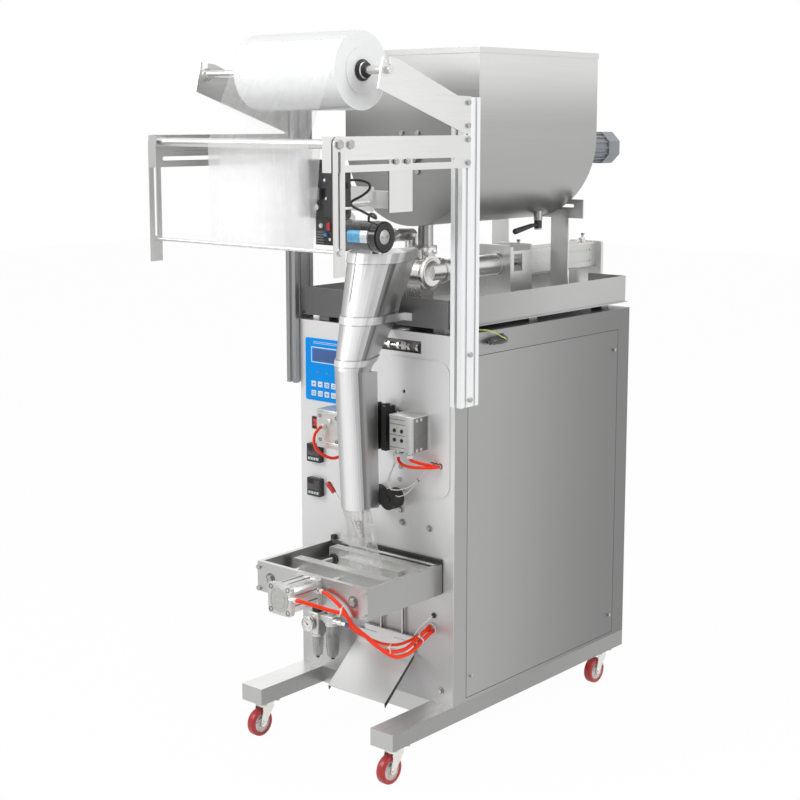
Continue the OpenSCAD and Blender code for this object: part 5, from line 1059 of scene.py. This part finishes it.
def make_seal_block():
    (x0, x1), y0, (z0, z1) = BLOCK_X, BLOCK_Y, BLOCK_Z
    block = Shape("seal_block_trim")
    block.block((x1 - 1, y0 + 3, z0 + 2), (x1 + 1.2, -12, z1 - 2), "dark_steel", 0.6)
    block.block((x0 + 1, y0 - 0.7, z0 + 1), (x0 + 48, y0 + 1, z0 + 8), "alloy", 0.5)
    for z in (z0 + 8, z0 + 40, z0 + 68, z0 + 80):
        block.block((x0 + 1, y0 - 0.5, z), (x0 + 52, y0 + 1, z + 1.6), "dark_steel", 0.2)
    block.block((x0 + 54, y0 - 0.9, z0 + 1), (x1 - 3, y0 + 1, z1 - 1), "alloy", 0.6)
    block.block((x0, y0 - 2.2, z1 - 3), (x1 + 1, -11.5, z1 + 1.6), "steel", 0.8)
    for x in (x0 + 16, x0 + 40):
        for z in (z0 + 28, z0 + 52):
            block.turned((x, y0, z), FRONT, [
                (3.2, 0.2), (5.2, 0.2), (5.2, 0.9), (3.2, 0.9), (3.0, -3), (0, -3)], "black", 20)
    for y in (y0 + 12, y0 + 28):
        for z in (z0 + 7, z1 - 8):
            block.turned((x1 + 1.2, y, z), RIGHT, [
                (4.2, 0), (4.2, 2.4), (2.2, 2.6), (2.0, 1.2), (0, 1.2)], "zinc", 16)
    for x, y, z in BLOCK_PORTS:
        block.turned((x, y, z + 2), DOWN, [
            (8.4, -2), (9.2, -1), (9.2, 5), (7.8, 7), (6.2, 7.2)], "white", 24)
    block.ride("unit_plastic")
    rail = Shape("seal_rail")
    rail.block((84, -14, 792), (103, -2.2, 905), "black", 1.5)
    rail.turned((93, -14, 895), FRONT, [(9.5, -1), (9.5, 2.5), (7, 4.6), (0, 5)], "zinc", 28)
    rail.turned((93, -14, 800), FRONT, [
        (6, -1), (6, 2.5), (3.4, 3.4), (3.2, 1.8), (0, 1.8)], "dark_steel", 24)
    rail.ride("black_plastic")


def make_front_trim():
    marks = Shape("seal_grommets")
    for x in (201.0, 214.0, 227.0):
        marks.turned((x, PANEL_FACE, 776.5), FRONT, [
            (4.6, -1), (8, -1), (8.4, 0), (8.2, 1.6), (6.8, 2.4), (4.8, 2.2), (4.6, 0)], "rubber", 24)
    marks.turned((154, PANEL_FACE, 730), FRONT, [
        (0, -1), (5.5, -1), (5.5, 1.4), (4, 2), (0, 2)], "rubber", 20)
    marks.turned((206, PANEL_FACE, 379), FRONT, [
        (0, -1), (7, -1), (7, 1.0), (5.6, 1.8), (0, 1.8)], "rubber", 24)
    marks.ride("black_plastic")
    screws = Shape("front_screws")
    for x, z in ((93, 641), (98, 609), (190, 608), (95, 757), (92, 723), (230, 181)):
        screws.turned((x, PANEL_FACE, z), FRONT, [
            (0, -1), (8.5, -1), (8.5, 1.0), (8.0, 1.4), (6.6, 1.4)], "bolt", 28)
        screws.turned((x, -3.4, z), FRONT, [(0, -1), (6.4, -1), (6.4, 3.6), (5.6, 4.4), (0, 4.4)], "bolt", 6)
    screws.ride("zinc")
    left = Shape("left_block_trim")
    for z in (880, 795):
        left.block((-141, -70.5, z), (-63, -66, z + 8), "steel", 0.8)
    for x in (-132, -72):
        for z in (808, 872):
            left.turned((x, BLOCK_Y, z), FRONT, [
                (3, 0.2), (5, 0.2), (5, 1.2), (3, 1.2), (2.8, -2), (0, -2)], "dark_steel", 20)
    left.turned((-96, BLOCK_Y, 862), FRONT, [(0, 0), (7, 0), (7, 5), (5, 6.5), (0, 7)], "zinc", 6)
    left.ride("unit_plastic")


def make_cover_lines():
    """Dark gaps round the lift-off covers, and the seam below the top band."""
    low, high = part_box("side_covers")
    y0, y1 = low[1] / MM + MID_Y, high[1] / MM + MID_Y
    z0, z1 = low[2] / MM, high[2] / MM
    gaps = Shape("cover_gaps")
    for side in (-1, 1):
        x0, x1 = sorted(side * x for x in COVER_FACE)
        for y in (y0, y1):
            gaps.block((x0, y - 0.8, z0), (x1, y + 0.8, z1), "black", 0.2)
        for z in (z0, z1):
            gaps.block((x0, y0, z - 0.8), (x1, y1, z + 0.8), "black", 0.2)
        for start, end in ((CABINET_Y[0], y0), (y1, CABINET_Y[1])):
            gaps.block((x0, start, z1 - 0.7), (x1, end, z1 + 0.7), "dark_steel", 0.2)
    gaps.ride("black_plastic")


def make_gland():
    gland = Shape("earth_gland")
    gland.turned((268, 190, 1087), RIGHT, [
        (0, 0), (15, 0), (15.4, 0.8), (15.4, 4), (12.6, 5), (12.6, 9), (9, 11), (3, 11.6)], "black", 6)
    gland.turned((281, 186, 1087), (0, -1, -0.02), [
        (0, -10), (8, -9.6), (10, -6), (10.4, 10), (9.4, 13), (9, 44), (7.4, 47), (7, 58), (4, 60),
        (3.2, 68), (0, 69)], "black_gloss", 24)
    gland.ride("black_plastic")


def make_lever_grip():
    at, out = Vector(LEVER_FOOT), Vector(LEVER_REACH)
    long = out.length
    grip = Shape("release_grip")
    grip.turned(at + out * 0.60, out, [
        (3.6, 0), (5.6, 0.4), (6.6, 3), (7.6, long * 0.3), (8.5, long * 0.40), (8.6, long * 0.42),
        (7.6, long * 0.40 + 6), (4.6, long * 0.40 + 8.6), (0, long * 0.40 + 9.4)], "red", 32)
    grip.ride("red_plastic", body="release_lever")


make_trim()
make_cover_lines()
make_gland()
make_jaw_cylinder()
make_jaw_trim()
make_seal_block()
make_front_trim()


# Reel, coder and its motor

CODER_Y = -427.2
BOX_Y = -420.5  # the front of the lower box below the coder
MOTOR_END, MOTOR_Y, MOTOR_Z = 157.0, -135.0, 1362.0
MOTOR_RINGS = (33.0, 131.5)
LABEL_START, LABEL_SWEEP, LABEL_STRIPS = math.radians(178), math.radians(46), 10


def make_reel_cones():
    cones = Shape("reel_cones")
    for s in (-1, 1):
        cones.turned((LINE_X + s * 167.0, *ROLL), (s, 0, 0), [
            (16, -0.6), (24.9, -0.3), (25.1, 0.6), (25.1, 3.2), (21.0, 5.6), (21.0, 7.4), (18.2, 9),
            (18.0, 14.8), (15, 15.6), (9.4, 15.8)], "black", 44)
    cones.ride("black_plastic", body="film_reel")


def make_coder():
    body = Shape("coder_trim")
    for x0, x1 in ((155, 178), (228, 270)):
        body.block((x0, -427.4, 1430), (x1, -425.2, 1536), "black_gloss", 0.8)
    body.block((150, -418, 1540), (262, -392, 1556), "black", 2)
    for x, z in ((234, 1511), (264, 1526), (160, 1526), (264, 1440), (238, 1470)):
        body.turned((x, CODER_Y, z), FRONT, [(0, 0), (3.6, 0), (3.6, 1.4), (2.4, 2.2), (0, 2.4)], "zinc", 18)
    body.turned((214, -425, 1450), FRONT, [
        (0, 0), (7.5, 0), (7.5, 4), (6.6, 6), (6.6, 9), (0, 9.6)], "turned", 28)
    body.block((198, -421, 1364), (254, -394, 1426), "black", 2)
    for z in range(1368, 1398, 6):
        body.block((200, -422.4, z), (226, -420, z + 3), "dark_steel", 0.3)
    body.block((236, -425.4, 1398), (246, -419, 1416), "red", 1)
    for x, z, profile, finish, sides in (
            (232, 1388, [(0, 0), (5, 0), (5, 4.4), (3.4, 5.6), (0, 5.8)], "fitting_blue", 20),
            (217, 1408, [(0, 0), (5.4, 0), (5.4, 3.4), (4, 5.2), (0, 5.4)], "white", 20),
            (246, 1378, [(0, 0), (4, 0), (4, 4), (0, 4.4)], "zinc", 6)):
        body.turned((x, BOX_Y, z), FRONT, profile, finish, sides)
    body.block((275, -418, 1446), (290, -396, 1452), "steel", 1)
    body.turned((283, -407, 1446), DOWN, [
        (0, 0), (9, 0.3), (9.4, 2), (9.4, 7), (8, 9), (0, 9.4)], "black", 24)
    body.turned((275, -404, 1500), RIGHT, [
        (0, 0), (9, 0), (9, 3), (7, 4), (7, 13), (4.5, 15), (0, 15.2)], "black", 6)
    body.ride("black_plastic")


def make_motor():
    motor = Shape("motor_trim")
    end, y, z = MOTOR_END, MOTOR_Y, MOTOR_Z
    motor.turned((end, y, z), RIGHT, [
        (34.5, 0.2), (34.5, 0.9), (33, 1.4), (20, 1.4), (19.2, 0.4), (18.4, -1.2)], "black")
    motor.turned((end - 1, y, z), RIGHT, [(18, 0), (18, 0.4), (17.4, 0.8), (0, 0.8)], "cast")
    for s in (-1, 1):
        motor.turned((end - 0.4, y + 9 * s, z), RIGHT, [
            (3.2, 0.3), (3.2, 0.5), (2.4, 0.6), (2.2, 0.1), (0, 0.1)], "black", 20)
    for x in MOTOR_RINGS:
        motor.turned((x, y, z), RIGHT, [(38.2, 0), (39.4, 0.4), (39.4, 2.0), (38.2, 2.4)], "black")
    for a in [math.radians(45 + 90 * k) for k in range(4)]:
        motor.turned((end - 0.5, y + 31 * math.cos(a), z + 31 * math.sin(a)), RIGHT, [
            (3, 0), (3, 1.6), (1.6, 1.8), (1.5, 0.9), (0, 0.9)], "zinc", 16)
    motor.ride("black_plastic")


def make_motor_plate():
    """Two bare plates bent round the motor, made of narrow strips."""
    label = Shape("motor_plate")
    for x0, x1, finish in ((66, 108, "sky"), (108, 138, "silver")):
        for k in range(LABEL_STRIPS):
            a, b = (LABEL_START + LABEL_SWEEP * (i / LABEL_STRIPS - 0.5) for i in (k, k + 1))
            corners = [
                label.bm.verts.new((x, MOTOR_Y + r * math.cos(turn), MOTOR_Z + r * math.sin(turn)))
                for r in (38.05, 38.5) for x, turn in ((x0, a), (x1, a), (x1, b), (x0, b))
            ]
            label.paint([label.bm.faces.new([corners[i] for i in loop]) for loop in (
                (0, 1, 2, 3), (4, 5, 6, 7), (0, 1, 5, 4), (2, 3, 7, 6), (0, 3, 7, 4), (1, 2, 6, 5))], finish)
    label.ride("black_plastic")


make_reel_cones()
make_lever_grip()
make_coder()
make_motor()
make_motor_plate()


# Window, valve and cylinder trim

VALVE = (80.0, 134.0, 1250.0)
SHAFT_Z = 1072
PORTS_Y, PORT_Z = (543.0, 864.0), 1287.0  # the air cylinder's two ports


def make_window():
    works = Shape("window_works")
    works.block((-30, 14, 1040), (186, 16, 1106), "dark_steel", 0.5)
    works.turned((20, 10, 1074), FRONT, [(9, -4), (9, 0), (7, 1), (7, 5), (0, 5.5)], "turned", 24)
    works.turned((60, 8, SHAFT_Z), RIGHT, [(4, -60), (4, 60), (0, 61)], "turned", 20)
    for x in (44, 76, 112, 140):
        works.turned((x, 8, SHAFT_Z), RIGHT, [(0, -1), (9.5, 0), (9.5, 8), (0, 9)], "zinc", 6)
    works.block((88, 4, 1062), (104, 14, 1084), "alloy", 1.5)
    works.turned((96, 4, 1073), FRONT, [(5.5, 0), (5.5, 3), (2.8, 3.2), (2.6, 1.4), (0, 1.4)], "zinc", 24)
    works.ride("stainless")


def make_valve_trim():
    valve = Shape("valve_clamp")
    x, y, z = VALVE
    valve.turned((x - 3, y, z), RIGHT, [
        (41.2, -4), (44.5, -3), (46, -1), (46, 4), (44.5, 6), (38, 7.6), (37.2, 6.4)], "turned")
    valve.turned((x + 4.4, y, z), RIGHT, [
        (36.9, 1.2), (36.4, 2.0), (30, 2.0), (29.4, 1.7), (0, 1.7)], "turned")
    valve.block((x - 5, y - 14, z + 43), (x + 3, y + 14, z + 52), "alloy", 1.5)
    valve.turned((x - 1, y - 20, z + 50), BACK, [(0, 0), (3, 0.4), (3, 44), (0, 44.4)], "zinc", 16)
    valve.turned((x - 1, y - 22, z + 50), BACK, [(0, 0), (7, 0.4), (7, 6), (0, 6.4)], "zinc", 6)
    for x0, x1, low, high in ((-9, 7, 48, 52), (-9, -5, 50, 60), (3, 7, 50, 60)):
        valve.block((x + x0, y + 15, z + low), (x + x1, y + 19, z + high), "zinc", 1.2)
    valve.ride("stainless")


def make_flow_controls():
    control = Shape("flow_controls")
    for y in PORTS_Y:
        for profile, finish, sides in (
                ([(7.6, 0), (7.6, 4), (7.2, 4.6)], "brass", 6),
                ([(7.2, 4), (7.6, 5), (7.6, 13), (6.6, 14), (3.2, 14)], "zinc", 28),
                ([(3.2, 13), (3.2, 20), (5.6, 20.4), (5.6, 24), (4.8, 25), (0, 25.2)], "dark_steel", 18)):
            control.turned((LINE_X, y, PORT_Z), UP, profile, finish, sides)
        control.block((55, y - 12, PORT_Z + 3), (69, y + 2, PORT_Z + 12), "zinc", 1.5)
        control.turned((LINE_X, y - 6, PORT_Z + 7), FRONT, [
            (4.6, 0), (4.9, 1), (4.9, 5), (4.2, 5.6), (3, 5.6), (3, 2)], "fitting_blue", 24)
    control.ride("zinc")


make_window()
make_valve_trim()
make_flow_controls()
